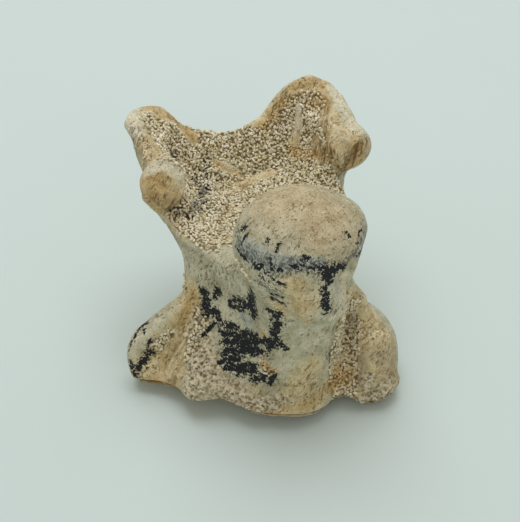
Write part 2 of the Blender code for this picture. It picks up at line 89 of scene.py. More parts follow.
# %% Strokes of manganese, the black stain
STROKES = {}
STROKES["stain"] = (
    ((-6.7, 4.1, 9.2, 0.6), (-6.6, 3.7, 8.7, 0.8), (-6.8, 3.6, 8.0, 0.9), (-6.6, 3.1, 7.8, 0.8),
     (-6.1, 2.5, 8.0, 0.6), (-6.0, 2.1, 7.6, 0.5)),
    ((-5.9, 3.1, 9.9, 0.45), (-5.8, 2.8, 9.8, 0.5), (-6.1, 3.1, 9.1, 0.4)),
    ((-4.4, -1.3, 13.1, 0.4), (-4.1, -0.6, 11.7, 0.6), (-4.2, -0.3, 10.7, 1.1), (-4.0, -0.6, 10.0, 0.7),
     (-4.0, -0.8, 9.5, 0.35)),
    ((-4.2, -0.3, 10.7, 1.0), (-4.4, 0.2, 10.1, 0.8), (-4.9, 0.9, 9.4, 0.45), (-5.3, 1.6, 9.3, 0.4),
     (-5.1, 1.5, 9.9, 0.4), (-4.7, 0.7, 10.4, 0.5)),
    ((-5.1, -0.3, 16.4, 0.15), (-4.9, -1.3, 16.4, 0.2), (-4.6, -2.2, 16.2, 0.22), (-4.1, -3.0, 16.4, 0.2),
     (-3.7, -3.5, 16.0, 0.22), (-3.3, -3.9, 15.7, 0.25), (-2.9, -4.2, 15.6, 0.25)),
    ((-4.4, -2.8, 15.7, 0.25), (-3.8, -3.4, 15.3, 0.25)),
    ((-3.4, -3.2, 14.0, 0.35), (-2.9, -3.5, 14.0, 0.35), (-2.6, -3.6, 13.8, 0.3)),
    ((-3.4, -3.1, 13.4, 0.3), (-2.6, -3.6, 13.0, 0.4)),
    ((-3.4, -2.1, 11.4, 0.3), (-3.1, -2.6, 11.4, 0.5), (-2.7, -2.9, 11.5, 0.5)),
    ((-2.9, -2.8, 11.2, 0.6), (-2.8, -2.8, 10.7, 0.9), (-2.9, -2.7, 9.8, 0.75), (-3.0, -2.6, 9.0, 0.7),
     (-2.9, -2.7, 8.3, 0.8), (-3.3, -2.4, 7.6, 0.7)),
    ((-3.4, -2.2, 8.2, 0.5), (-2.6, -2.9, 8.1, 0.55), (-2.1, -3.2, 7.8, 0.3)),
    ((-6.0, 2.1, 7.4, 0.5), (-5.8, 2.0, 7.0, 0.6), (-5.3, 0.9, 7.6, 0.6)),
    ((-5.8, 1.1, 6.8, 0.9), (-5.2, 0.4, 7.0, 0.9), (-4.5, -0.3, 7.6, 0.8), (-4.1, -1.0, 7.8, 0.4)),
    ((-6.2, 1.1, 6.0, 0.5), (-5.6, 0.4, 6.3, 1.1), (-5.0, -0.1, 6.7, 1.1), (-4.4, -0.9, 6.9, 1.0),
     (-3.9, -1.4, 7.7, 0.8), (-3.4, -2.2, 8.2, 0.5)),
    ((-6.0, 0.4, 5.6, 0.9), (-5.4, -0.2, 5.8, 1.1), (-4.7, -0.7, 6.1, 0.7), (-4.2, -1.4, 6.6, 0.6),
     (-3.8, -2.0, 6.8, 0.7)),
    ((-6.3, 2.3, 7.0, 0.35), (-6.8, 2.3, 6.5, 0.4), (-7.3, 2.4, 6.0, 0.35), (-7.5, 2.4, 5.7, 0.3)),
    ((-6.6, 0.1, 4.6, 0.5), (-6.0, 0.0, 4.9, 0.9), (-5.5, -0.4, 5.3, 0.9)),
    ((-6.1, -0.3, 4.3, 0.6), (-5.4, -0.9, 4.5, 0.9), (-4.9, -1.4, 4.7, 0.9), (-4.4, -1.9, 5.0, 0.9)),
    ((-4.6, -1.5, 3.9, 0.4), (-4.3, -2.2, 4.1, 0.8), (-3.8, -2.6, 4.6, 0.5), (-3.5, -2.7, 5.2, 0.4)),
    ((-3.0, -3.0, 4.9, 0.4), (-3.2, -2.9, 4.6, 0.7), (-3.4, -2.8, 4.0, 0.5)),
    ((-2.2, -4.2, 17.1, 0.2), (-1.6, -4.5, 17.1, 0.28), (-1.0, -4.7, 17.0, 0.34), (-0.3, -4.8, 16.9, 0.4),
     (0.4, -4.9, 16.6, 0.65), (1.0, -4.9, 16.4, 0.7), (1.3, -4.7, 16.6, 0.4)),
    ((-3.5, -3.1, 17.4, 0.22), (-3.5, -3.5, 16.7, 0.28), (-2.8, -4.0, 16.8, 0.26)),
    ((-5.1, 0.4, 16.3, 0.2), (-5.0, -1.1, 16.3, 0.22), (-4.6, -2.1, 16.4, 0.24), (-4.1, -2.9, 16.6, 0.22)),
    ((-1.4, -4.2, 17.6, 0.3), (-0.8, -4.3, 17.6, 0.3)),
    ((-4.5, 0.6, 17.6, 0.25), (-4.3, 0.3, 17.9, 0.25), (-4.1, 0.2, 18.1, 0.2)),
    ((-4.3, -0.4, 18.0, 0.25), (-4.6, -0.3, 17.5, 0.25), (-4.8, -0.4, 17.1, 0.25)),
    ((-3.4, -2.1, 18.3, 0.3), (-3.3, -1.9, 18.45, 0.2)),
    ((-2.6, -2.8, 18.4, 0.2), (-3.0, -3.0, 17.9, 0.25)),
    ((2.5, -3.1, 18.2, 0.3), (2.7, -3.2, 18.0, 0.3)),
    ((4.4, -1.7, 17.3, 0.22), (3.8, -2.6, 17.5, 0.18), (3.5, -3.2, 17.2, 0.2), (3.2, -3.6, 17.1, 0.2)),
    ((4.7, -1.9, 16.4, 0.25), (4.3, -2.7, 16.2, 0.25), (3.3, -3.8, 16.3, 0.25)),
    ((1.6, -4.7, 16.3, 0.3), (1.9, -4.6, 16.3, 0.2)),
    ((0.8, -4.9, 16.2, 0.8), (0.3, -5.0, 16.1, 0.6), (0.5, -5.1, 15.6, 0.4), (0.1, -5.3, 15.2, 0.4)),
    ((0.0, -5.6, 14.9, 0.5), (-0.1, -6.0, 14.3, 0.65), (-0.1, -6.1, 13.8, 0.6)),
    ((-0.3, -5.3, 15.2, 0.3), (-0.1, -5.3, 15.0, 0.3)),
    ((-11.2, 5.5, 5.8, 0.3), (-11.9, 5.3, 5.5, 0.35), (-12.5, 5.0, 4.8, 0.3), (-12.8, 5.1, 4.0, 0.3),
     (-12.9, 4.6, 2.9, 0.35), (-12.8, 4.5, 1.7, 0.4), (-12.7, 4.5, 0.5, 0.3)),
    ((-11.1, 4.1, 3.6, 0.5), (-11.4, 4.2, 3.6, 0.55), (-11.9, 4.2, 3.2, 0.6), (-12.2, 4.3, 2.7, 0.55),
     (-12.5, 4.3, 2.2, 0.4)),
    ((-11.7, 4.9, 5.5, 0.4), (-11.6, 4.8, 5.3, 0.3)),
    ((-11.2, 4.2, 4.9, 0.25), (-11.6, 4.2, 4.5, 0.25), (-11.8, 4.2, 2.3, 0.25)),
    ((-6.3, 14.8, 15.6, 0.7), (-5.9, 14.9, 15.0, 0.6)),
    ((-2.8, 16.0, 13.4, 0.5), (-2.7, 15.4, 12.8, 0.4), (-3.5, 14.9, 12.8, 0.4), (-2.7, 14.6, 12.1, 0.4)),
    ((-4.5, 14.0, 12.6, 0.7), (-4.5, 13.4, 12.6, 0.6), (-3.8, 13.1, 12.2, 0.7), (-4.6, 11.9, 12.5, 0.5)),
    ((-4.3, 11.2, 12.3, 0.5), (-5.7, 9.7, 13.2, 0.8), (-5.8, 9.2, 13.2, 0.7), (-6.3, 8.8, 13.1, 0.5)),
    ((-7.9, 10.2, 13.0, 0.6), (-7.7, 9.8, 13.6, 0.5), (-7.2, 9.5, 13.5, 0.6)),
    ((2.0, -2.8, 6.3, 0.25), (2.2, -2.6, 5.7, 0.3), (2.5, -2.2, 5.3, 0.2)),
    ((6.2, 3.0, 9.2, 0.9), (6.4, 4.2, 8.0, 1.1), (6.6, 5.2, 9.4, 0.7)),
    ((4.6, 12.6, 4.2, 0.8), (3.8, 13.4, 5.4, 1.2), (2.8, 14.6, 6.6, 0.7)),
    ((-5.4, 13.2, 9.6, 0.6), (-4.6, 15.2, 10.6, 1.0), (-5.6, 16.0, 12.2, 0.6)),
)
print("strokes of manganese:", len(STROKES["stain"]))

# %% Strokes of straw yellow, the widest and softest
STROKES["straw"] = (
    ((-9.6, 2.6, 3.8, 1.8), (-10.2, 2.2, 2.2, 2.0), (-10.0, 1.8, 1.0, 1.6)),
    ((-2.0, -4.7, 15.3, 1.5), (-1.7, -5.0, 14.2, 2.0), (-1.9, -4.8, 12.8, 1.7)),
    ((-12.5, 4.4, 1.1, 2.2), (-11.4, 4.0, 1.9, 2.6), (-10.0, 3.9, 3.5, 2.6), (-8.6, 4.1, 5.4, 2.4),
     (-7.6, 4.4, 7.6, 2.0), (-7.5, 5.1, 8.6, 1.6)),
    ((-11.6, 4.1, 0.6, 2.0), (-10.4, 3.5, 1.7, 2.0), (-9.3, 2.6, 4.4, 1.8)),
    ((4.6, -0.2, 8.4, 1.8), (5.8, -0.8, 6.6, 2.6), (6.2, -3.0, 5.4, 3.0), (6.1, -4.1, 3.4, 2.8),
     (5.0, -4.2, 1.6, 2.4)),
    ((4.6, -0.5, 5.4, 1.8), (4.1, -1.6, 3.1, 1.8), (3.8, -2.5, 1.2, 2.0)),
    ((-5.8, -1.1, 0.7, 1.6), (-3.9, -2.5, 1.0, 2.0), (-1.8, -3.4, 1.2, 2.2), (-0.1, -3.9, 2.0, 2.0),
     (1.1, -3.7, 2.6, 1.4)),
    ((-2.4, -4.5, 15.5, 1.3), (-1.6, -5.0, 14.3, 1.6), (-1.8, -5.0, 12.5, 1.4)),
    ((-0.2, -3.8, 5.9, 1.6), (-1.1, -3.7, 3.4, 2.2)),
    ((-0.9, 13.0, 11.7, 0.9), (0.4, 13.2, 11.8, 1.0), (1.5, 13.3, 11.9, 1.0), (2.8, 13.6, 12.0, 0.9)),
    ((-9.2, 9.4, 16.2, 2.4), (-8.0, 9.2, 15.4, 2.4)),
    ((5.4, 15.4, 15.6, 1.4), (5.0, 15.0, 14.0, 1.4)),
    ((6.0, 13.2, 14.9, 2.0), (6.6, 11.0, 14.6, 2.0)),
    ((-3.0, -3.2, 12.6, 1.2), (-2.6, -3.4, 11.6, 1.0)),
    ((1.6, -4.6, 13.6, 1.6), (0.8, -4.4, 11.6, 1.6)),
    ((-9.0, 16.3, 17.9, 1.2), (-8.6, 14.3, 17.6, 1.6), (-8.3, 12.9, 17.3, 1.8), (-8.0, 12.0, 14.6, 2.0)),
    ((-6.9, 17.6, 17.9, 1.4), (-5.8, 17.0, 17.4, 1.4), (-4.5, 17.3, 16.1, 1.4), (-3.5, 17.2, 15.2, 1.4)),
    ((2.9, 17.2, 14.9, 1.6), (4.6, 17.5, 16.3, 1.6), (6.1, 17.2, 17.9, 1.6), (7.9, 16.9, 18.0, 1.6)),
    ((7.7, 14.7, 16.7, 1.4), (6.9, 11.6, 16.9, 1.8), (6.7, 9.8, 16.1, 1.6), (7.2, 9.3, 14.8, 1.4)),
    ((8.2, 10.3, 17.2, 1.4), (8.9, 9.8, 16.6, 1.8), (8.4, 9.1, 15.2, 1.8)),
    ((-7.4, 8.9, 13.0, 1.2), (-6.9, 7.2, 12.9, 1.2), (-5.4, 5.5, 12.7, 1.2)),
    ((8.0, 4.4, 1.6, 2.6), (6.8, 7.0, 3.0, 2.6), (0.0, 12.4, 0.8, 3.0), (-6.8, 7.0, 3.0, 2.6)),
    ((5.4, 15.4, 11.4, 3.0), (7.0, 15.6, 14.0, 3.0)),
    ((-5.4, 15.4, 11.4, 3.0), (-7.6, 14.6, 14.4, 2.6)),
    ((0.0, 14.4, 3.6, 2.4), (0.0, 16.8, 8.0, 2.4)),
)
print("strokes of straw yellow:", len(STROKES["straw"]))

# %% Strokes of ochre, of blue-grey, of pale bone, of tan and of smudged black
STROKES["ochre"] = (
    ((-8.2, 9.7, 16.6, 1.8), (-8.9, 9.6, 16.3, 2.6), (-9.0, 9.1, 15.3, 2.8), (-7.6, 8.8, 14.4, 1.2)),
    ((-6.8, 18.1, 18.0, 0.8), (-5.7, 17.5, 17.6, 0.8), (-4.5, 17.7, 16.3, 0.8)),
    ((-4.1, 17.5, 15.8, 0.7), (-3.5, 16.8, 15.0, 0.9)),
    ((2.9, 17.0, 14.6, 0.7), (4.9, 17.1, 17.1, 1.0), (6.2, 17.4, 18.1, 1.1), (8.0, 17.3, 18.1, 1.0),
     (8.7, 16.8, 17.9, 0.8)),
    ((8.0, 16.0, 17.4, 0.6), (8.2, 14.9, 17.2, 0.7), (7.6, 13.2, 16.6, 0.7)),
    ((5.0, 13.9, 13.2, 0.8), (4.7, 14.7, 13.4, 0.6)),
    ((7.9, 9.4, 16.1, 1.0), (8.9, 9.6, 16.3, 1.0), (8.5, 9.2, 15.3, 1.1), (7.6, 9.0, 14.4, 0.8)),
    ((-3.7, -1.6, 8.7, 0.4), (-3.2, -2.4, 7.8, 0.35)),
    ((-3.0, -3.0, 5.3, 0.5), (-3.7, -2.4, 5.8, 0.5)),
    ((2.4, -2.5, 3.2, 1.6), (1.7, -3.2, 2.5, 1.2), (3.8, -1.8, 2.1, 1.3)),
    ((3.8, -1.0, 4.4, 0.6), (3.7, -1.4, 3.1, 0.8)),
    ((-10.6, 4.4, 0.2, 2.2), (-8.4, 3.0, 0.2, 2.6), (-5.4, 1.0, 0.2, 2.6), (-2.2, -0.6, 0.2, 2.6)),
    ((0.8, -1.2, 0.2, 2.6), (3.2, -0.6, 0.2, 2.4), (5.6, -1.6, 0.2, 1.8)),
    ((-11.6, 4.1, 0.3, 0.9), (-10.7, 2.5, 0.8, 0.9)),
    ((-1.9, 15.4, 13.0, 0.5), (-0.1, 14.1, 12.0, 0.5)),
    ((5.8, 13.0, 13.6, 0.8), (6.4, 10.1, 16.0, 0.8)),
    ((-7.0, 4.8, 8.8, 0.7), (-8.6, 4.4, 6.0, 0.6)),
    ((7.2, -2.2, 4.6, 1.0), (7.4, -0.4, 3.4, 1.4), (7.6, 2.4, 3.0, 1.4)),
    ((0.0, 12.4, 0.8, 1.6), (3.6, 11.2, 1.0, 1.4)),
    ((5.4, 15.4, 11.4, 1.6), (6.8, 15.8, 14.0, 1.5), (7.8, 16.4, 16.4, 1.4)),
    ((-8.6, 12.2, 14.6, 1.3), (-7.8, 9.0, 11.4, 1.2)),
)
STROKES["cool"] = (
    ((-4.8, -0.4, 16.9, 1.1), (-4.4, -1.9, 17.1, 1.3), (-3.8, -2.8, 17.1, 1.3), (-3.0, -3.6, 17.2, 1.1),
     (-1.8, -4.2, 17.3, 0.9), (0.0, -4.7, 17.2, 0.8)),
    ((4.9, -1.2, 17.2, 0.6), (4.7, -1.9, 16.9, 0.7), (4.2, -2.9, 16.5, 0.7), (3.3, -3.8, 16.4, 0.6)),
    ((-4.6, 0.0, 9.0, 0.9), (-4.3, -0.4, 8.6, 0.8)),
    ((1.0, -5.2, 15.4, 0.4), (0.9, -5.6, 14.4, 0.4)),
    ((-7.4, 9.8, 17.4, 0.5), (-8.2, 10.2, 17.8, 0.5)),
)
STROKES["pale"] = (
    ((-6.4, 9.2, 16.2, 0.6), (-7.0, 9.8, 17.1, 0.8), (-8.0, 10.2, 17.9, 0.8), (-9.2, 10.4, 17.4, 0.7)),
    ((-8.4, 18.1, 18.1, 1.0), (-9.0, 17.3, 18.0, 1.3), (-8.8, 16.2, 17.7, 1.2), (-8.6, 15.0, 17.4, 0.8)),
    ((8.8, 16.4, 17.8, 0.6), (9.2, 15.0, 17.5, 0.9), (9.2, 13.2, 17.2, 1.0), (9.3, 11.8, 17.0, 0.9),
     (8.7, 10.8, 17.2, 0.8), (9.8, 10.2, 16.8, 0.6)),
    ((5.85, 16.4, 16.8, 0.7), (5.7, 15.8, 16.0, 0.9), (5.5, 15.3, 15.0, 0.9)),
    ((-12.4, 5.2, 4.8, 0.9), (-12.5, 4.9, 3.8, 0.9)),
    ((1.9, -4.7, 15.4, 0.7), (1.7, -5.2, 14.2, 0.8), (1.4, -5.4, 13.0, 0.8), (0.6, -5.9, 12.8, 0.7)),
)
STROKES["tan"] = (
    ((-1.0, 1.0, 19.6, 5.2), (1.6, -1.6, 19.2, 4.6), (0.6, -2.6, 18.4, 3.2)),
    ((-8.8, 1.4, 2.2, 1.2), (-7.6, 0.6, 3.0, 1.8), (-6.0, -0.8, 1.6, 2.0), (-4.4, -2.2, 2.6, 1.4)),
    ((5.6, -4.0, 1.8, 2.0), (6.8, -3.6, 2.6, 2.0), (6.4, -3.2, 4.4, 1.8)),
    ((9.0, 9.8, 15.8, 1.4), (9.6, 10.6, 16.0, 1.2)),
)
STROKES["smudge"] = (
    ((-4.7, 1.1, 17.0, 0.6), (-4.9, -0.3, 16.8, 0.8), (-4.7, -1.8, 16.7, 1.1), (-3.9, -3.0, 16.8, 1.2),
     (-3.0, -3.8, 16.9, 1.2), (-2.0, -4.3, 17.1, 1.1), (-0.8, -4.7, 17.0, 1.1), (0.5, -4.8, 16.7, 1.2),
     (1.5, -4.7, 16.4, 0.9)),
    ((1.9, -4.5, 16.5, 0.5), (2.7, -4.1, 16.7, 0.4), (3.7, -3.1, 16.9, 0.3), (4.5, -1.7, 17.1, 0.3)),
    ((-4.5, 0.7, 17.7, 0.5), (-4.0, 0.8, 18.1, 0.5)),
    ((-4.3, -2.6, 14.9, 0.7), (-3.7, -3.3, 14.7, 0.7), (-3.0, -3.9, 14.6, 0.5)),
    ((-4.6, -0.9, 15.4, 0.5), (-4.0, -2.6, 15.6, 0.5), (-2.8, -4.2, 15.4, 0.5)),
    ((-12.4, 4.6, 2.4, 1.0), (-12.2, 4.7, 1.0, 0.9)),
    ((-3.4, 13.6, 12.4, 2.4), (-5.2, 10.4, 12.8, 2.2), (-7.2, 9.8, 13.4, 1.4)),
    ((-5.2, 14.6, 15.0, 1.4), (-6.4, 15.0, 15.6, 1.2)),
    ((1.6, -3.4, 5.8, 0.8), (2.4, -2.4, 5.0, 0.6)),
    ((2.9, -1.9, 6.6, 0.6), (3.2, -1.6, 5.0, 0.8), (3.0, -2.2, 3.4, 0.7)),
)
print("strokes in all by now:", sum(map(len, STROKES.values())))

# %% Strokes of open pores, of sand, and of bare bone within the sand
STROKES["pores"] = (
    ((-7.2, 2.3, 6.0, 0.9), (-7.9, 1.6, 5.0, 1.3), (-8.6, 0.9, 3.8, 1.4), (-8.9, 0.7, 1.8, 1.3)),
    ((-7.8, 0.5, 4.4, 1.9), (-7.7, -0.4, 2.9, 2.2), (-6.5, -0.7, 1.1, 2.2)),
    ((-5.8, -1.2, 2.2, 1.9), (-4.8, -2.0, 1.5, 1.6), (-3.9, -2.5, 1.8, 1.3), (-2.6, -3.2, 2.4, 0.9)),
    ((6.1, -4.4, 1.4, 1.7), (4.8, -4.3, 1.2, 1.4), (7.4, -2.8, 1.2, 1.2)),
    ((4.6, -2.4, 0.8, 1.2), (4.9, -3.8, 3.0, 0.9)),
    ((0.0, 14.0, 3.4, 1.2), (0.0, 16.0, 6.0, 1.4), (0.0, 17.4, 9.0, 1.4)),
    ((8.2, 4.6, 0.8, 1.6), (8.4, 4.4, 2.4, 1.2)),
)
SAND = (
    ((-6.4, 9.7, 14.2, 0.9), (-7.0, 9.6, 13.7, 0.8), (-7.7, 9.8, 13.3, 0.8), (-6.6, 8.9, 13.0, 0.9),
     (-5.6, 7.6, 13.0, 0.9)),
    ((-4.8, 6.2, 12.7, 0.9), (-4.4, 5.4, 12.8, 0.9), (-4.4, 4.4, 13.4, 0.6)),
    ((-7.0, 2.7, 7.2, 0.55), (-7.9, 2.5, 6.2, 0.65), (-8.5, 2.3, 5.2, 0.6), (-8.9, 1.9, 4.4, 0.4)),
    ((-9.8, 4.2, 5.1, 0.7), (-10.7, 4.1, 4.3, 0.7)),
    ((-7.4, 3.8, 7.4, 0.5), (-8.6, 3.6, 5.4, 0.5)),
    ((3.8, -0.9, 10.1, 0.9), (3.6, -1.4, 9.0, 1.3), (2.9, -2.2, 8.0, 1.3), (2.5, -2.2, 5.9, 1.5),
     (2.2, -2.7, 4.2, 1.3), (2.2, -2.9, 2.6, 1.0)),
    ((4.2, -0.4, 8.2, 1.3), (4.0, -0.6, 6.8, 1.5), (3.8, -1.0, 5.2, 1.6), (3.2, -1.6, 3.8, 1.5),
     (2.6, -2.2, 2.4, 1.3), (2.5, -2.6, 1.0, 1.1)),
    ((4.9, 0.5, 6.5, 1.0), (4.5, -1.1, 5.4, 1.2), (4.3, -1.8, 3.2, 1.1), (3.7, -2.7, 1.1, 0.9)),
    ((-7.6, 6.0, 8.4, 0.6), (-7.4, 6.6, 8.8, 0.5)),
    ((-5.1, -0.3, 15.2, 0.4), (-4.8, -1.7, 14.8, 0.4)),
    ((-5.5, 4.6, 12.7, 0.5), (-6.0, 5.5, 12.7, 0.6), (-6.5, 6.3, 12.9, 0.6)),
    ((-3.8, -2.1, 6.1, 0.4), (-3.5, -2.7, 5.2, 0.5)),
    ((5.6, 2.8, 6.0, 1.2), (5.9, 3.6, 4.6, 1.1)),
    ((-5.8, 9.4, 1.0, 1.2), (-4.8, 10.2, 1.8, 0.8)),
    ((5.8, 9.4, 1.0, 1.2), (5.0, 10.0, 2.2, 0.8)),
    ((1.6, 13.6, 3.4, 0.8), (1.7, 15.2, 6.0, 0.9), (1.5, 16.8, 9.0, 0.7)),
)
BARE = (
    ((-8.4, 18.1, 18.1, 1.3), (-9.0, 17.3, 18.0, 1.5), (-8.8, 16.2, 17.7, 1.3), (-8.6, 14.6, 17.4, 1.2),
     (-8.3, 12.9, 17.3, 1.3)),
    ((-6.9, 18.1, 18.0, 0.9), (-5.7, 17.5, 17.6, 0.9), (-4.5, 17.7, 16.3, 0.9), (-3.5, 16.8, 15.0, 0.8)),
    ((-8.2, 9.4, 16.3, 2.5), (-8.1, 9.2, 15.8, 2.4)),
    ((8.5, 9.7, 16.2, 2.0), (7.6, 9.0, 14.6, 1.6)),
    ((2.4, 17.6, 14.6, 0.7), (4.6, 17.9, 16.7, 1.1), (6.1, 17.9, 18.1, 1.3), (7.9, 17.5, 18.2, 1.4),
     (8.8, 16.6, 17.9, 1.3), (9.0, 15.0, 17.5, 1.4), (8.8, 13.2, 17.3, 1.5), (8.4, 11.6, 17.1, 1.5)),
    ((7.7, 14.4, 16.7, 0.9), (7.1, 11.9, 16.9, 1.3), (6.8, 10.2, 16.1, 1.2), (7.2, 9.3, 14.8, 1.2)),
    ((5.85, 16.4, 16.8, 0.26), (5.7, 15.8, 16.0, 0.4), (5.5, 15.3, 15.0, 0.5), (5.0, 15.0, 14.0, 0.66)),
    ((6.0, 13.2, 14.9, 0.9), (6.3, 12.2, 14.6, 1.1), (6.6, 11.0, 14.6, 1.0)),
    ((-1.9, 15.5, 13.1, 0.35), (-1.2, 15.0, 12.7, 0.55), (-0.7, 14.6, 12.3, 0.55), (-0.1, 14.1, 12.0, 0.35)),
    ((-0.9, 13.1, 11.8, 0.5), (0.4, 13.2, 11.9, 0.65), (1.5, 13.3, 12.0, 0.65), (2.7, 13.6, 12.1, 0.5)),
)
print("strokes of pores, sand and bare bone:", len(STROKES["pores"]), len(SAND), len(BARE))

# %% Strokes of gritty surface, and of torn, fibrous bone
STROKES["grit"] = (
    ((4.6, -0.4, 8.4, 1.6), (5.6, -1.4, 6.6, 2.2), (6.4, -2.6, 5.0, 2.6), (6.6, -3.4, 3.0, 2.4),
     (6.4, -4.2, 1.2, 2.0)),
    ((-7.6, 4.0, 7.6, 1.4), (-9.2, 4.0, 5.0, 1.4), (-11.0, 4.0, 2.6, 1.0)),
    ((-6.9, 6.4, 11.6, 1.6), (-5.6, 2.8, 12.0, 1.4), (-4.8, 0.8, 13.4, 1.2)),
    ((-6.4, 4.4, 11.0, 1.2), (-6.2, 3.8, 10.0, 1.4), (-5.2, 1.6, 11.6, 1.0)),
    ((-1.6, -3.6, 3.2, 1.8), (0.6, -3.9, 2.4, 1.8), (0.0, -3.9, 4.6, 1.4), (-3.8, -2.4, 1.2, 1.6)),
    ((6.8, 12.6, 15.8, 1.6), (6.6, 10.2, 14.6, 1.6), (6.8, 14.8, 16.2, 1.2)),
    ((-8.6, 14.0, 17.2, 1.2), (-8.4, 12.4, 16.8, 1.2), (-4.4, 17.6, 16.2, 1.2)),
    ((4.6, 17.4, 16.6, 1.4), (6.2, 17.6, 18.0, 1.2)),
    ((8.0, 4.6, 2.0, 2.4), (6.6, 7.0, 4.0, 2.4), (-7.6, 9.0, 6.0, 2.6)),
    ((0.0, 14.4, 3.6, 2.0), (0.0, 16.8, 8.0, 2.0)),
)
STROKES["fibres"] = (
    ((9.3, 9.9, 16.6, 0.7), (8.9, 9.6, 16.3, 0.8), (8.3, 9.3, 15.9, 0.8), (7.8, 9.1, 15.3, 0.8),
     (7.5, 9.2, 14.5, 0.7)),
    ((7.6, 14.2, 16.6, 0.9), (7.2, 12.2, 16.4, 1.2), (6.8, 10.2, 15.4, 1.2), (6.8, 9.0, 13.8, 0.9)),
    ((-8.8, 15.6, 17.6, 0.8), (-8.6, 14.0, 17.2, 0.8), (-8.4, 12.4, 16.8, 0.7)),
    ((-8.6, 9.2, 15.4, 0.9), (-8.0, 9.0, 14.9, 0.8)),
    ((4.0, 17.2, 15.6, 0.8), (5.2, 17.4, 17.0, 0.8)),
    ((-7.2, 3.2, 7.2, 0.6), (-8.2, 3.0, 5.4, 0.7), (-8.6, 2.6, 4.6, 0.5)),
    ((6.0, 13.2, 14.9, 1.0), (6.6, 11.0, 14.6, 1.0)),
)
print("strokes of grit and fibres:", len(STROKES["grit"]), len(STROKES["fibres"]))

# %% The field of a set of strokes


def steps(line):
    """The places of a line in pairs, each with the next one."""
    spots = np.array(line)
    return zip(spots, spots[1:])


def off_line(points, a, b):
    """For each point, the way to it from the nearest place between a and b, and the radius at that place."""
    run = b[:3] - a[:3]
    share = np.clip((points - a[:3]) @ run / (run @ run), 0, 1)[:, None]
    return points - a[:3] - share * run, a[3] + share * (b[3] - a[3])


def along(points, strokes):
    """For each point, how deep it lies in the strokes: 1 on a stroke's line, 0 from its radius out."""
    best = np.zeros(len(points))
    for stroke in strokes:
        for a, b in steps(stroke):
            way, radius = off_line(points, a, b)
            best = np.maximum(best, 1 - np.linalg.norm(way, axis=1) / radius[:, 0])
    return best


def ease(values, low, high):
    """0 below low, 1 above high and a smooth rise between."""
    share = np.clip((values - low) / (high - low), 0, 1)
    return share * share * (3 - 2 * share)


# %% [markdown]
# ## The cast: one skin over the parted bone
# The real bone is one piece. The solids part it by cuts of 0.3 mm, so that each anatomical part has a name.
# Here all solids are copied into one mesh, swelled until the cuts close, melted by a voxel remesh and shrunk
# back, as a moulder would take a cast. Rims and lips that are too fine for the solids are laid on as
# strings of beads before the melting.

# %% Helpers for objects and meshes


def put(name, data):
    """A new object with this data, in the scene and at the origin."""
    made = bpy.data.objects.new(name, data)
    bpy.context.scene.collection.objects.link(made)
    return made


def settle(obj):
    """Applies the object's modifiers: its evaluated mesh takes the place of the old one."""
    graph = bpy.context.evaluated_depsgraph_get()
    done = obj.evaluated_get(graph)
    mesh = bpy.data.meshes.new_from_object(done, preserve_all_data_layers=True, depsgraph=graph)
    obj.modifiers.clear()
    obj.data = mesh


def modify(obj, kind, **settings):
    """A modifier of this kind with its settings."""
    made = obj.modifiers.new(kind.lower(), kind)
    for name, value in settings.items():
        setattr(made, name, value)
    return made


def places(mesh):
    """The vertices of a mesh, in millimetres from the landmark."""
    flat = np.empty(len(mesh.vertices) * 3)
    mesh.vertices.foreach_get("co", flat)
    return from_landmark(flat.reshape(-1, 3))


def move(mesh, points):
    """Puts the vertices at these places."""
    mesh.vertices.foreach_set("co", in_frame(points).ravel())
    mesh.update()


def normals(mesh):
    """The outward direction at each vertex."""
    flat = np.empty(len(mesh.vertices) * 3)
    mesh.vertex_normals.foreach_get("vector", flat)
    return flat.reshape(-1, 3)


def store(mesh, name, values):
    """Keeps a value for each vertex, under a name that the materials and node trees read."""
    mesh.attributes.new(name, "FLOAT", "POINT").data.foreach_set("value", values.astype(np.float32))


def triangles(mesh):
    """How many triangles the mesh comes to."""
    return sum(len(face.vertices) - 2 for face in mesh.polygons)


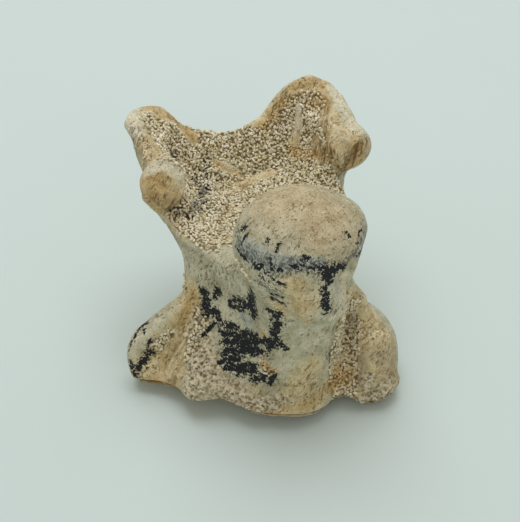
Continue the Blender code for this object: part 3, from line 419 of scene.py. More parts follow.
# %% Rims and lips as strings of beads: x, y, z and radius in millimetres
RIMS = {
    "left wing": ((-8.3, 12.4, 16.5, 0.8), (-8.35, 14.0, 16.9, 0.75), (-8.5, 15.8, 17.2, 0.7),
                  (-8.75, 17.0, 17.45, 0.65), (-8.3, 17.7, 17.5, 0.6), (-7.1, 17.8, 17.45, 0.6)),
    "right wing": ((5.3, 17.4, 16.7, 0.65), (6.2, 17.7, 17.5, 0.7), (7.4, 17.8, 17.6, 0.75),
                   (8.5, 17.0, 17.2, 0.8), (9.0, 15.4, 16.8, 0.8), (9.1, 13.6, 16.4, 0.8),
                   (8.9, 11.8, 16.5, 0.7), (9.2, 10.6, 16.5, 0.6)),
    "ridge in the right wing": ((5.85, 16.5, 16.7, 0.14), (5.75, 16.0, 15.85, 0.24), (5.55, 15.6, 14.8, 0.36),
                                (5.0, 15.3, 13.6, 0.6)),
    "edge of the left rib boss": ((-7.1, 3.1, 7.3, 0.35), (-8.2, 2.8, 5.2, 0.4), (-9.1, 2.6, 3.8, 0.42),
                                  (-9.8, 2.7, 2.6, 0.4), (-10.2, 3.0, 1.7, 0.3)),
    "furrow's lip beside it": ((-7.4, 3.6, 6.4, 0.22), (-8.6, 3.4, 4.6, 0.28), (-9.6, 3.3, 3.2, 0.26),
                               (-10.3, 3.4, 2.0, 0.2)),
    "under the left joint face": ((-9.5, 10.0, 15.1, 0.45), (-9.0, 9.8, 14.4, 0.5), (-8.4, 9.6, 13.7, 0.5),
                                  (-8.0, 9.3, 13.0, 0.5)),
    "splinter in the sand": ((-1.85, 15.6, 13.0, 0.2), (-1.3, 15.25, 12.65, 0.42),
                             (-0.75, 14.85, 12.25, 0.45), (-0.1, 14.3, 11.9, 0.22)),
    "yellow bar in the sand": ((-0.85, 13.2, 11.6, 0.3), (0.3, 13.4, 11.7, 0.46), (1.4, 13.5, 11.8, 0.5),
                               (2.7, 13.8, 11.9, 0.38)),
}
BEAD_STEP = 0.25
print("strings of beads:", ", ".join(RIMS))


def string_beads(bm, line):
    """Overlapping balls from place to place along a line."""
    for a, b in steps(line):
        count = max(2, int(np.linalg.norm(b[:3] - a[:3]) / BEAD_STEP))
        for share in np.linspace(0, 1, count):
            x, y, z, radius = a + share * (b - a)
            spot = Matrix.Translation(Vector(in_frame((x, y, z))))
            bmesh.ops.create_icosphere(bm, subdivisions=2, radius=radius * MM, matrix=spot)


# %% Copy, swell, melt and shrink
CAST_VOXEL = 0.18
SWELL = 0.2
BLEND_ROUNDS = 26

moulded = bmesh.new()
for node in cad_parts.values():
    moulded.from_mesh(node.data)
bmesh.ops.remove_doubles(moulded, verts=moulded.verts, dist=0.001 * MM)
cast_mesh = bpy.data.meshes.new("cast")
moulded.to_mesh(cast_mesh)
moulded.free()
bone = put("bone", cast_mesh)
modify(bone, "REMESH", mode="VOXEL", voxel_size=CAST_VOXEL * MM)
modify(bone, "DISPLACE", strength=SWELL * MM, mid_level=0.0)
modify(bone, "REMESH", mode="VOXEL", voxel_size=CAST_VOXEL * MM)
modify(bone, "DISPLACE", strength=-SWELL * MM, mid_level=0.0)
modify(bone, "SMOOTH", factor=0.5, iterations=BLEND_ROUNDS)
settle(bone)
print("cast:", len(bone.data.vertices), "vertices")

# %% [markdown]
# ## Scoops and swellings
# A hollow is made by pressing an ellipsoid into the cast: every vertex inside it is pushed out to its wall.
# This is quicker and cleaner than a boolean on so fine a mesh, and it leaves the crisp lip that a worn joint
# face has. A swelling moves the vertices near a place in one direction, most at its middle, as a thumb moves
# clay. Together they give the wings' hollow inner sides and the last tenths of a millimetre of the outline.

# %% Press ellipsoids into the cast: centre and radii in millimetres
SCOOPS = {
    "inner side of the left wing": ((-6.1, 15.3, 18.9), (2.1, 2.7, 2.0)),
    "inner side of the right wing": ((6.5, 14.9, 18.6), (1.9, 2.3, 2.5)),
}
# Centre, direction and how far it moves, and the radius that it reaches
SWELLS = {
    "right side of the ball": ((5.1, -0.6, 17.4), (0.34, -0.04, 0.0), 2.6),
    "right shoulder of the ball": ((4.8, 1.4, 16.8), (0.34, 0.1, 0.06), 2.4),
    "right side of the neck": ((4.4, -2.2, 14.4), (-0.5, 0.15, 0.0), 2.8),
    "left edge of the side wall": ((-7.7, 9.6, 12.4), (-0.4, 0.0, 0.0), 3.4),
    "outer side of the left wing": ((-9.5, 14.8, 17.2), (0.7, 0.0, 0.0), 3.2),
    "top of the left wing": ((-7.7, 17.7, 17.9), (-0.12, 0.12, 0.4), 2.6),
    "left end of the left boss": ((-12.8, 4.7, 3.0), (-0.36, 0.0, 0.0), 3.0),
    "slope of the right wing": ((4.2, 17.6, 16.4), (-0.35, 0.2, 0.15), 2.6),
    "foot of the right boss": ((6.9, -3.9, 0.9), (0.3, -0.15, 0.0), 2.4),
    "shoulder of the right boss": ((7.4, 0.2, 6.2), (-0.5, 0.0, -0.1), 2.8),
    "top of the right boss": ((5.4, -0.1, 9.2), (-0.22, 0.0, -0.16), 1.8),
    "right end of the right wing": ((9.4, 10.0, 16.2), (0.3, 0.0, -0.1), 2.4),
    "underside of the left boss": ((-7.4, -1.2, 0.0), (0.3, 0.5, 0.8), 3.2),
}


def scoop(points, centre, radii):
    """Pushes the points inside an ellipsoid out to its wall, away from its centre."""
    way = (points - np.array(centre)) / np.array(radii)
    depth = np.linalg.norm(way, axis=1)
    inside = depth < 1
    points[inside] = np.array(centre) + way[inside] / depth[inside, None] * np.array(radii)
    return int(inside.sum())


def swell(points, centre, way, reach):
    """Moves the points near a place, most at its middle and none at its reach."""
    share = np.clip(1 - (np.linalg.norm(points - np.array(centre), axis=1) / reach) ** 2, 0, 1) ** 2
    points += share[:, None] * np.array(way)
    return int((share > 0).sum())


cast_places = places(bone.data)
for name, (centre, radii) in SCOOPS.items():
    print("scooped", name + ":", scoop(cast_places, centre, radii), "vertices moved")
for name, (centre, way, reach) in SWELLS.items():
    print("swelled", name + ":", swell(cast_places, centre, way, reach), "vertices moved")
move(bone.data, cast_places)

# %% [markdown]
# ## The two rear joint faces
# Behind the ball stand two small plates, the postzygapophyses, whose faces slide on the next bone's. The
# left one is a worn, uneven disc with a low rim over its top, the right one a narrow, torn trough. A plate is
# a flattened ball, turned so that its short axis is the way that the face looks. Its outline is given by its
# reach every 30 degrees, from the snake's right round over the top, and its rim is one more string of beads.

# %% Plates: centre, the way the face looks, half width, half height, thickness, lean, rim radius, reach
ROUND = (1.0,) * 12
WORN = (0.94, 1.02, 1.04, 0.98, 0.9, 0.87, 0.86, 0.97, 0.88, 0.94, 0.9, 0.9)
PLATES = {
    "left rear joint face": ((-8.25, 9.6, 16.25), (-0.22, -0.78, 0.58), 1.95, 2.1, 0.9, 0.0, 0.2, WORN),
    "right rear joint face": ((8.65, 10.0, 16.05), (0.1, -0.8, 0.6), 0.75, 1.65, 0.8, -0.6, 0.18, ROUND),
}
RIM_FROM = -20
RIM_TO = 170
RIM_STEPS = 16
RIM_INSET = 0.06
RIM_SINK = 0.3
# A plate and its stalk: how far behind the face in plate thicknesses, and how wide for the plate's width
PLATE_BALLS = ((0.7, 1.0), (1.7, 0.75))


def plate_axes(look, lean):
    """The plate's own axes: across, up and the way that it looks, turned by the lean in radians."""
    look = Vector(look).normalized()
    across = Vector((0, 0, 1)).cross(look).normalized()
    rise = look.cross(across)
    turned = across * math.cos(lean) + rise * math.sin(lean)
    return turned, look.cross(turned), look


def reach_at(reach, degrees):
    """The outline's reach in this direction, between the two that are given beside it."""
    spot = (degrees % 360) / 30
    low = int(spot) % 12
    return reach[low] + (spot - int(spot)) * (reach[(low + 1) % 12] - reach[low])


def lay_plate(bm, centre, look, half_width, half_height, thickness, lean, rim, reach):
    """A flattened ball for the plate, a stalk behind it and beads over its top."""
    across, rise, look = plate_axes(look, lean)
    centre = Vector(centre)
    for back, narrow in PLATE_BALLS:
        ball = bmesh.ops.create_icosphere(bm, subdivisions=4, radius=1)["verts"]
        for vert in ball:
            x, y, z = vert.co
            far = narrow * reach_at(reach, math.degrees(math.atan2(y, x)))
            spot = across * x * half_width * far + rise * y * half_height * far
            spot += look * (z - back) * thickness
            vert.co = Vector(in_frame(centre + spot))
    ring = []
    for step in range(RIM_STEPS + 1):
        degrees = RIM_FROM + (RIM_TO - RIM_FROM) * step / RIM_STEPS
        far = reach_at(reach, degrees) - RIM_INSET
        side = across * half_width * math.cos(math.radians(degrees))
        edge = centre + (side + rise * half_height * math.sin(math.radians(degrees))) * far
        ring.append((*(edge - look * RIM_SINK), rim))
    string_beads(bm, ring)


print("plates:", ", ".join(PLATES))

# %% Lay the beads on and melt again, finer
SKIN_VOXEL = 0.125
SOFT_ROUNDS = 5

beaded = bmesh.new()
beaded.from_mesh(bone.data)
for line in RIMS.values():
    string_beads(beaded, line)
for plate in PLATES.values():
    lay_plate(beaded, *plate)
beaded.to_mesh(bone.data)
beaded.free()
modify(bone, "REMESH", mode="VOXEL", voxel_size=SKIN_VOXEL * MM, use_smooth_shade=True)
modify(bone, "SMOOTH", factor=0.5, iterations=SOFT_ROUNDS)
settle(bone)
print("melted with its rims and plates:", len(bone.data.vertices), "vertices")

# %% Press the joint faces hollow: lines of places with the radius of the thumb that presses there
THUMBS = {
    "left joint face": ((-9.29, 7.21, 18.02, 2.9), (-9.09, 7.16, 17.92, 2.9)),
    "right joint face": ((9.5, 9.75, 16.85, 0.3), (9.0, 9.4, 16.5, 0.48), (8.4, 9.15, 16.1, 0.52),
                         (7.85, 8.9, 15.5, 0.44), (7.4, 8.9, 14.8, 0.36)),
}


def press(points, line):
    """Pushes the points within the radius of a line out to that radius."""
    moved = 0
    for a, b in steps(line):
        way, radius = off_line(points, a, b)
        gap = np.linalg.norm(way, axis=1)[:, None]
        depth = radius - gap
        inside = depth[:, 0] > 0
        points[inside] += (way * depth / gap)[inside]
        moved += int(inside.sum())
    return moved


skin_places = places(bone.data)
for name, line in THUMBS.items():
    print("pressed", name + ":", press(skin_places, line), "vertices moved")
move(bone.data, skin_places)
print("skin:", len(bone.data.vertices), "vertices")

# %% [markdown]
# ## The fields on the skin
# Each finish's field is stored on the skin as a vertex attribute, which the material and the geometry node
# trees read by name. Sand is special: besides its strokes it fills the basin behind the ball, wherever the
# surface looks towards the basin's mouth and isn't the ball itself.

# %% Store the fields
BASIN_MOUTH = (0.0, 9.5, 19.5)
BALL_CENTRE = (0.0, 0.0, 15.6)
BALL_RADII = (5.35, 5.25, 4.35)
# Where the basin's sand starts and is full: facing its mouth, y, z and the way off the ball. Then where it
# ends to both sides.
BASIN_STARTS = ((0.1, 0.3), (4.2, 5.4), (10.8, 11.2), (1.0, 1.06))
BASIN_SIDES = (7.9, 8.4)

skin_places = places(bone.data)
to_mouth = np.array(BASIN_MOUTH) - skin_places
to_mouth /= np.linalg.norm(to_mouth, axis=1)[:, None]
facing = np.einsum("ij,ij->i", normals(bone.data), to_mouth)
off_ball = np.linalg.norm((skin_places - np.array(BALL_CENTRE)) / np.array(BALL_RADII), axis=1)
x, y, z = skin_places.T
in_basin = np.ones(len(skin_places))
for values, (low, high) in zip((facing, y, z, off_ball), BASIN_STARTS):
    in_basin *= ease(values, low, high)
in_basin *= 1 - ease(np.abs(x), *BASIN_SIDES)
bare = ease(along(skin_places, BARE), 0.05, 0.3)
fields = {name: along(skin_places, strokes) for name, strokes in STROKES.items()}
fields["sand_grooves"] = ease(along(skin_places, SAND), 0.05, 0.6) * (1 - in_basin) * (1 - bare)
fields["sand_basin"] = in_basin * (1 - bare)
fields["sand"] = np.maximum(fields["sand_grooves"], fields["sand_basin"])
for name, values in fields.items():
    store(bone.data, name, values)
    print(f"{name}: {100 * (values > 0.3).mean():.1f} percent of the skin")

# %% [markdown]
# ## Colours and nodes
# Colours are written as sRGB hex values, as a paint program shows them, and one function turns them linear,
# as the renderer needs them. One small function adds a node with its settings and its inputs. An input may
# be a number, a colour, an output or a whole node, which then gives its first output that is in use. Unless
# a setting says otherwise, a maths node multiplies, a vector node scales and a mix node mixes colours.

# %% Hex to linear, short names for what is used over and over, and one way to add a node
DRAW = "FunctionNodeRandomValue"
NOISE = "ShaderNodeTexNoise"
CELLS = "ShaderNodeTexVoronoi"
MATHS = "ShaderNodeMath"
ARROWS = "ShaderNodeVectorMath"
BLEND = "ShaderNodeMix"
SPREAD = "ShaderNodeMapRange"
FIELD = "ShaderNodeAttribute"
STRETCH = "ShaderNodeMapping"
USUAL = {MATHS: {"operation": "MULTIPLY"}, ARROWS: {"operation": "SCALE"}, BLEND: {"data_type": "RGBA"}}
TIMES_PLUS = {"operation": "MULTIPLY_ADD"}
SOFT = {"interpolation_type": "SMOOTHSTEP"}


def linear(colour):
    """An sRGB hex colour as linear red, green, blue and alpha."""
    parts = [int(colour[i:i + 2], 16) / 255 for i in (1, 3, 5)]
    return (*(p / 12.92 if p <= 0.04045 else ((p + 0.055) / 1.055) ** 2.4 for p in parts), 1.0)


def add(tree, kind, inputs=None, **settings):
    """A new node of this kind, with its settings and its inputs by name or number."""
    made = tree.nodes.new(kind)
    for name, value in {**USUAL.get(kind, {}), **settings}.items():
        setattr(made, name, value)
    for key, value in (inputs or {}).items():
        if isinstance(key, str):
            socket = next(s for s in made.inputs if s.enabled and s.name == key)
        else:
            socket = made.inputs[key]
        if isinstance(value, bpy.types.Node):
            value = next(s for s in value.outputs if s.enabled)
        if isinstance(value, bpy.types.NodeSocket):
            tree.links.new(value, socket)
        else:
            socket.default_value = value
    return made


# %% [markdown]
# ## The finish of the bone
# The bone is phosphatised: stone with the fine grain of bone, dry and matt, polished only where it was dense.
# Its colour is layered as it was on the ground: grey-cream bone, tan and ochre where iron crept in, blue-grey
# and pale where it was leached, open pores where the outer wall is gone, dark cement between sand grains that
# is partly painted shade in the gaps, and last the black manganese with frayed, fern-like edges. Each layer is
# a colour laid over the one before by its field, with its border broken by noise of a real size in
# millimetres.

# %% An empty material


def new_material(name):
    """A material with an empty node tree, its surface shader, its output and its millimetre coordinates."""
    made = bpy.data.materials.new(name)
    made.use_nodes = True
    tree = made.node_tree
    tree.nodes.clear()
    shader = add(tree, "ShaderNodeBsdfPrincipled")
    add(tree, "ShaderNodeOutputMaterial", {"Surface": shader})
    spot = add(tree, "ShaderNodeTexCoord").outputs["Object"]
    return made, tree, shader, add(tree, ARROWS, {0: spot, "Scale": 1 / MM})


def finish(tree, shader, colour, relief, roughness, shine):
    """Gives the shader its colour, its relief if it has any, its roughness and its shine."""
    tree.links.new(colour.outputs[2], shader.inputs["Base Color"])
    if relief:
        tree.links.new(relief.outputs[0], shader.inputs["Normal"])
    if isinstance(roughness, float):
        shader.inputs["Roughness"].default_value = roughness
    else:
        tree.links.new(roughness.outputs[0], shader.inputs["Roughness"])
    shader.inputs["Specular IOR Level"].default_value = shine


# %% Phosphatised bone: matt fossil bone in layers of colour
# Layer: field, dark and light colour, size of the mottling, size of the fraying and how far it frays, and the
# field values where the layer starts and is full.
BONE_DARK = linear("#ADA98B")
BONE_LIGHT = linear("#DAD5B8")
BONE_LAYERS = (
    ("straw", "#C6AE7A", "#EAD9AC", 1.0, 1.2, 2.2, 0.0, 0.75),
    ("tan", "#B4A17B", "#CFBF99", 1.1, 0.9, 1.6, -0.1, 0.8),
    ("pores", "#C4B794", "#EADFC0", 0.7, 0.5, 2.0, 0.15, 0.5),
    ("ochre", "#AE8E56", "#D6BA80", 0.6, 0.7, 3.0, 0.1, 0.85),
    ("cool", "#939A90", "#C4C7B9", 0.6, 0.5, 2.6, 0.1, 0.7),
    ("pale", "#D0C7A4", "#E8E0C4", 0.9, 0.6, 2.4, 0.1, 0.6),
)
# Noise: size in millimetres, detail and roughness. Bone grain is finer than a hundredth of a millimetre, so
# it is drawn at 0.14 mm, or it wouldn't show.
BONE_NOISES = {
    "mottle": (1.6, 6.0, 0.6),
    "grain": (0.14, 3.0, 0.7),
    "ripple": (0.45, 4.0, 0.6),
    "gritty patches": (1.3, 3.0, 0.5),
    "rims of pits": (0.3, 4.0, 0.5),
    "border of the sand": (0.4, 3.0, 0.5),
    "cement_and_gap_shade": (0.3, 3.0, 0.7),
    "fern": (0.5, 2.0, 0.5),
}

bone_stone, tree, shader, mm = new_material("phosphatised_bone")
noise = {name: add(tree, NOISE, {"Vector": mm, "Scale": 1 / size, "Detail": detail, "Roughness": rough})
         for name, (size, detail, rough) in BONE_NOISES.items()}
mottle = add(tree, SPREAD, {"Value": noise["mottle"], "From Min": 0.32, "From Max": 0.68}, **SOFT)
colour = add(tree, BLEND, {"Factor": mottle, "A": BONE_DARK, "B": BONE_LIGHT})
layer_masks = {}
for name, dark, light, mottle_size, fray_size, fray, low, high in BONE_LAYERS:
    frayed = add(tree, NOISE, {"Vector": mm, "Scale": 1 / fray_size, "Detail": 5.0, "Roughness": 0.6})
    frayed = add(tree, MATHS, {0: frayed, 1: fray, 2: 1 - fray / 2}, **TIMES_PLUS)
    reach = add(tree, MATHS, {0: add(tree, FIELD, attribute_name=name), 1: frayed})
    mask = add(tree, SPREAD, {"Value": reach, "From Min": low, "From Max": high}, **SOFT)
    mottle = add(tree, NOISE, {"Vector": mm, "Scale": 1 / mottle_size, "Detail": 6.0, "Roughness": 0.65})
    mottle = add(tree, SPREAD, {"Value": mottle, "From Min": 0.34, "From Max": 0.66}, **SOFT)
    shade = add(tree, BLEND, {"Factor": mottle, "A": linear(dark), "B": linear(light)})
    colour = add(tree, BLEND, {"Factor": mask, "A": colour, "B": shade})
    layer_masks[name] = mask
print("layers of colour:", ", ".join(layer_masks))

# %% Fine grain, and the first coats: dirt and painted shade in the hollows, wear and a painted highlight on the ridges
# A coat is a share of the surface and the colour that covers it. Later ones lie over earlier ones.
# Painted shade with dirt: a dark coat in the hollows. Painted highlight with wear: a pale coat on the ridges.
HOLLOW_DIRT_AND_SHADE = linear("#82673D")
RIDGE_WEAR_AND_HIGHLIGHT = linear("#E6DFC8")

grain = noise["grain"]
grain_tone = add(tree, SPREAD, {"Value": grain, "From Min": 0.3, "From Max": 0.7,
                                "To Min": 0.74, "To Max": 1.18})
colour = add(tree, ARROWS, {0: colour, "Scale": grain_tone})
hollow = add(tree, FIELD, attribute_name="hollow")
# Painted shade, with dirt: the deeper the hollow, the darker the coat.
hollow_dirt_and_shade_share = add(tree, SPREAD, {"Value": hollow, "From Min": 0.52, "From Max": 0.85}, **SOFT)
dirt_and_shade_speckle = add(tree, SPREAD, {"Value": grain, "From Min": 0.3, "From Max": 0.62,
                                "To Min": 0.3, "To Max": 0.8})
hollow_dirt_and_shade_share = add(tree, MATHS, {0: hollow_dirt_and_shade_share, 1: dirt_and_shade_speckle})
# Painted highlight, with wear: the higher the ridge, the paler the coat.
ridge_wear_and_highlight_share = add(tree, SPREAD, {"Value": hollow, "From Min": 0.46, "From Max": 0.12, "To Max": 0.42})
coats = [(hollow_dirt_and_shade_share, HOLLOW_DIRT_AND_SHADE), (ridge_wear_and_highlight_share, RIDGE_WEAR_AND_HIGHLIGHT)]
print("nodes with the first coats:", len(tree.nodes))

# %% Flecks: dark splinters and sand specks in the surface, more of them where it is gritty
# Each is a short dash, as on the walls and the boss in the photo. Sizes are across, across and along, in mm.
FLECK_SIZE = (0.13, 0.13, 0.42)
FLECK_TURN = (0.5, 0.35, 0.9)
FLECK_BROWN = linear("#6E5936")

gritty = add(tree, FIELD, attribute_name="grit")
dashes = add(tree, STRETCH, {"Vector": mm, "Rotation": FLECK_TURN, "Scale": FLECK_SIZE},
             vector_type="TEXTURE")
fleck = add(tree, NOISE, {"Vector": dashes, "Scale": 0.7, "Detail": 2.0, "Roughness": 0.7, "Distortion": 0.6})
fleck_level = add(tree, MATHS, {0: gritty, 1: 0.2, 2: noise["gritty patches"]}, **TIMES_PLUS)
fleck_level = add(tree, SPREAD, {"Value": fleck_level, "From Min": 0.35, "From Max": 0.75,
                                 "To Min": 0.37, "To Max": 0.49})
fleck = add(tree, MATHS, {0: fleck_level, 1: fleck}, operation="SUBTRACT")
fleck = add(tree, SPREAD, {"Value": fleck, "From Max": 0.09, "To Max": 0.75}, **SOFT)
coats.append((fleck, FLECK_BROWN))
print("flecks, width and length in mm:", FLECK_SIZE[1:])

# %% Fibres: the torn, streaky bone of the wings and joint faces, along the way that the bone grew
FIBRE_SIZE = (0.16, 0.16, 1.5)
FIBRE_TURN = (-0.55, 0.5, 0.0)
FIBRE_BROWN = linear("#6B522F")

streaks = add(tree, STRETCH, {"Vector": mm, "Rotation": FIBRE_TURN, "Scale": FIBRE_SIZE},
              vector_type="TEXTURE")
fibre = add(tree, NOISE, {"Vector": streaks, "Scale": 0.6, "Detail": 3.0, "Roughness": 0.65,
                          "Distortion": 0.3})
fibre_field = add(tree, FIELD, attribute_name="fibres")
fibre_dark = add(tree, SPREAD, {"Value": fibre, "From Min": 0.52, "From Max": 0.4, "To Max": 0.85}, **SOFT)
fibre_share = add(tree, SPREAD, {"Value": fibre_field, "From Max": 0.5}, **SOFT)
fibre_dark = add(tree, MATHS, {0: fibre_dark, 1: fibre_share})
coats.append((fibre_dark, FIBRE_BROWN))
print("fibres, width and length in mm:", FIBRE_SIZE[1:])

# %% Pores: dark pits between pale walls, where the outer wall of the bone is gone
PIT_WIDTH = 0.32
PIT_BROWN = linear("#947F52")
PIT_BEND = 0.6


def bent(tree, mm):
    """The place in millimetres, pushed about by an even noise, so that the pits aren't round."""
    push = add(tree, NOISE, {"Vector": mm, "Scale": 1 / PIT_BEND, "Detail": 2.0})
    push = add(tree, ARROWS, {0: push.outputs["Color"], "Scale": PIT_BEND})
    return add(tree, ARROWS, {0: mm, 1: push}, operation="ADD")


pits = add(tree, CELLS, {"Vector": bent(tree, mm), "Scale": 1 / PIT_WIDTH})
pit_depth = add(tree, MATHS, {0: noise["rims of pits"], 1: 0.9, 2: pits}, **TIMES_PLUS)
pit_open = add(tree, SPREAD, {"Value": pit_depth, "From Min": 0.9, "From Max": 0.6, "To Max": 0.75}, **SOFT)
pit_open = add(tree, MATHS, {0: pit_open, 1: layer_masks["pores"]})
coats.append((pit_open, PIT_BROWN))
print("pits, width in mm:", PIT_WIDTH)

# %% Cement between the grains of sand, its dark end partly painted shade in the gaps, black where the manganese lies
# The cement's dark end is partly painted shade: it darkens the gaps between the grains.
CEMENT_DARK_AND_GAP_SHADE = linear("#493A20")
CEMENT_LIGHT = linear("#B09D74")
CEMENT_BLACK = linear("#221E1C")

sand_field, stain_field, smudge_field = (
    add(tree, FIELD, attribute_name=name) for name in ("sand", "stain", "smudge"))
sand_edge = add(tree, MATHS, {0: noise["border of the sand"], 1: 1.6, 2: -0.8}, **TIMES_PLUS)
sand_share = add(tree, MATHS, {0: sand_field, 1: sand_edge}, operation="ADD")
sand_share = add(tree, SPREAD, {"Value": sand_share, "From Min": 0.3, "From Max": 0.8}, **SOFT)
under_sand = add(tree, SPREAD, {"Value": sand_field, "From Max": 0.1})
sand_share = add(tree, MATHS, {0: sand_share, 1: under_sand})
# Partly painted shade: the dark cement shows between the grains as the shade of the gaps.
cement_and_gap_shade = add(tree, BLEND, {"Factor": noise["cement_and_gap_shade"], "A": CEMENT_DARK_AND_GAP_SHADE, "B": CEMENT_LIGHT})
blacked = add(tree, MATHS, {0: smudge_field, 1: 0.75, 2: stain_field}, **TIMES_PLUS)
blacked = add(tree, SPREAD, {"Value": blacked, "From Min": 0.15, "From Max": 0.8, "To Max": 0.92})
cement_and_gap_shade = add(tree, BLEND, {"Factor": blacked, "A": cement_and_gap_shade, "B": CEMENT_BLACK})
coats.append((sand_share, cement_and_gap_shade))
print("coats up to the cement:", len(coats))

# %% Manganese: a grey smudge of fine flecks, and the black stain with fronds at its edge
# Layer: field, colour, the field value of its edge, how far broad and fine fronds break it, the field values
# past the edge where it starts and is full, and how much it covers.
MANGANESE = linear("#1B1E22")
MANGANESE_LAYERS = (
    (smudge_field, linear("#3B3D3D"), 0.56, 1.4, 3.8, -0.05, 0.2, 0.68),
    (stain_field, MANGANESE, 0.34, 1.6, 3.0, 0.0, 0.12, 1.0),
)
FROND_WIDTH = 0.2

frond = add(tree, NOISE, {"Vector": mm, "Scale": 1 / FROND_WIDTH, "Detail": 2.0, "Roughness": 0.62,
                          "Distortion": 0.7})
off_sand = add(tree, SPREAD, {"Value": sand_share, "To Min": 1.0, "To Max": 0.85})
for field, black, level, broad, fine, low, high, cover in MANGANESE_LAYERS:
    edge = add(tree, MATHS, {0: noise["fern"], 1: broad, 2: level - broad / 2 - fine / 2}, **TIMES_PLUS)
    edge = add(tree, MATHS, {0: frond, 1: fine, 2: edge}, **TIMES_PLUS)
    edge = add(tree, MATHS, {0: edge, 1: 0.05}, operation="MAXIMUM")
    past = add(tree, MATHS, {0: field, 1: edge}, operation="SUBTRACT")
    stain = add(tree, SPREAD, {"Value": past, "From Min": low, "From Max": high, "To Max": cover}, **SOFT)
    stain = add(tree, MATHS, {0: stain, 1: off_sand})
    coats.append((stain, black))
for share, over in coats:
    colour = add(tree, BLEND, {"Factor": share, "A": colour, "B": over})
print("coats with the manganese:", len(coats))

# %% Its relief: heights in millimetres, added up
CRUMB_WIDTH = 0.24

crumbs = add(tree, CELLS, {"Vector": mm, "Scale": 1 / CRUMB_WIDTH})
crumbs = add(tree, MATHS, {0: crumbs, 1: gritty})
fibre_step = add(tree, MATHS, {0: fibre, 1: fibre_share})
height = None
for part, depth in ((grain, 0.07), (noise["ripple"], 0.13), (crumbs, -0.1), (fibre_step, 0.22),
                    (pit_open, -0.14), (fleck, -0.05), (stain, 0.012)):
    height = add(tree, MATHS, {0: part, 1: depth, 2: height or 0.0}, **TIMES_PLUS)
relief = add(tree, "ShaderNodeBump", {"Height": height, "Distance": MM, "Strength": 1.0})
gloss = add(tree, SPREAD, {"Value": noise["ripple"], "From Min": 0.3, "From Max": 0.7,
                           "To Min": 0.6, "To Max": 0.82})
finish(tree, shader, colour, relief, gloss, 0.35)
print("bone material:", len(tree.nodes), "nodes")

# %% [markdown]
# ## The finish of the sand
# The sand is phosphate: worn grains, dull to waxy, cream to pale yellow, and cemented to the bone. A tone for
# each grain looks more like sand than one noise over all of them, so the tone is an attribute that the grains
# will bring along. Rust and manganese reach some grains and leave others.

# %% Cemented phosphate sand: worn grains, each of its own tone
GRAIN_TONES = ((0.0, "#C4B48A"), (0.3, "#E2D6B0"), (0.6, "#EEE4C6"), (0.85, "#F3EBD2"), (1.0, "#F8F2E0"))
GRAIN_RUST = linear("#EACFA0")
GRAIN_WEAR = 0.12

grain_stone, tree, shader, mm = new_material("cemented_phosphate_sand")
ramp = add(tree, "ShaderNodeValToRGB", {"Fac": add(tree, FIELD, attribute_name="tone")})
for place, _ in GRAIN_TONES[1:-1]:
    ramp.color_ramp.elements.new(place)
for element, (place, shade) in zip(ramp.color_ramp.elements, GRAIN_TONES):
    element.position = place
    element.color = linear(shade)
wear = add(tree, NOISE, {"Vector": mm, "Scale": 1 / GRAIN_WEAR, "Detail": 3.0})
dust = add(tree, SPREAD, {"Value": wear, "From Min": 0.3, "From Max": 0.7, "To Min": 0.75, "To Max": 1.1})
colour = add(tree, ARROWS, {0: ramp, "Scale": dust})
rust, greyed, stained, luck = (
    add(tree, FIELD, attribute_name=name) for name in ("ochre", "smudge", "stain", "luck"))
colour = add(tree, BLEND, {"Factor": rust, "A": colour, "B": GRAIN_RUST}, blend_type="MULTIPLY")
blackened = add(tree, MATHS, {0: stained, 1: 0.65})
blackened = add(tree, MATHS, {0: greyed, 1: 0.42, 2: blackened}, **TIMES_PLUS)
past = add(tree, MATHS, {0: blackened, 1: luck}, operation="SUBTRACT")
patchy = add(tree, MATHS, {0: wear, 1: 0.5, 2: past}, **TIMES_PLUS)
stain = add(tree, SPREAD, {"Value": patchy, "From Min": 0.2, "From Max": 0.7, "To Max": 0.62}, **SOFT)
colour = add(tree, BLEND, {"Factor": stain, "A": colour, "B": MANGANESE})
relief = add(tree, "ShaderNodeBump", {"Height": wear, "Distance": 0.04 * MM})
finish(tree, shader, colour, relief, 0.78, 0.3)
print("sand material:", len(tree.nodes), "nodes")

# %% [markdown]
# ## Weathering as a geometry node tree
# Wear follows the surface, so it is a node tree: soft undulation and a thin crust everywhere, grit, lumps
# where sand is caked on, furrows along the fibres, and knobs and pits where the outer wall is gone. Each moves
# the skin along its normal by a real height. The tree reads the fields by name. Sculpting by hand would do as
# well, but the tree keeps the sizes adjustable.

# %% Making and running a tree


def new_tree(name, sizes):
    """A geometry node tree with a mesh input, named inputs for these sizes, a mesh output and millimetres."""
    tree = bpy.data.node_groups.new(name, "GeometryNodeTree")
    tree.interface.new_socket(name="Geometry", in_out="INPUT", socket_type="NodeSocketGeometry")
    tree.interface.new_socket(name="Geometry", in_out="OUTPUT", socket_type="NodeSocketGeometry")
    for label, value in sizes.items():
        kind = {str: "NodeSocketString", int: "NodeSocketInt", float: "NodeSocketFloat"}[type(value)]
        tree.interface.new_socket(name=label, in_out="INPUT", socket_type=kind)
    mm = add(tree, ARROWS, {0: add(tree, "GeometryNodeInputPosition"), "Scale": 1 / MM})
    return tree, add(tree, "NodeGroupInput").outputs, mm


def run_tree(obj, tree, sizes):
    """Runs the tree on the object with these sizes, and keeps the plain mesh that it gives."""
    step = obj.modifiers.new(tree.name, "NODES")
    step.node_group = tree
    for item in tree.interface.items_tree:
        if item.in_out == "INPUT" and item.name in sizes:
            step[item.identifier] = sizes[item.name]
    settle(obj)


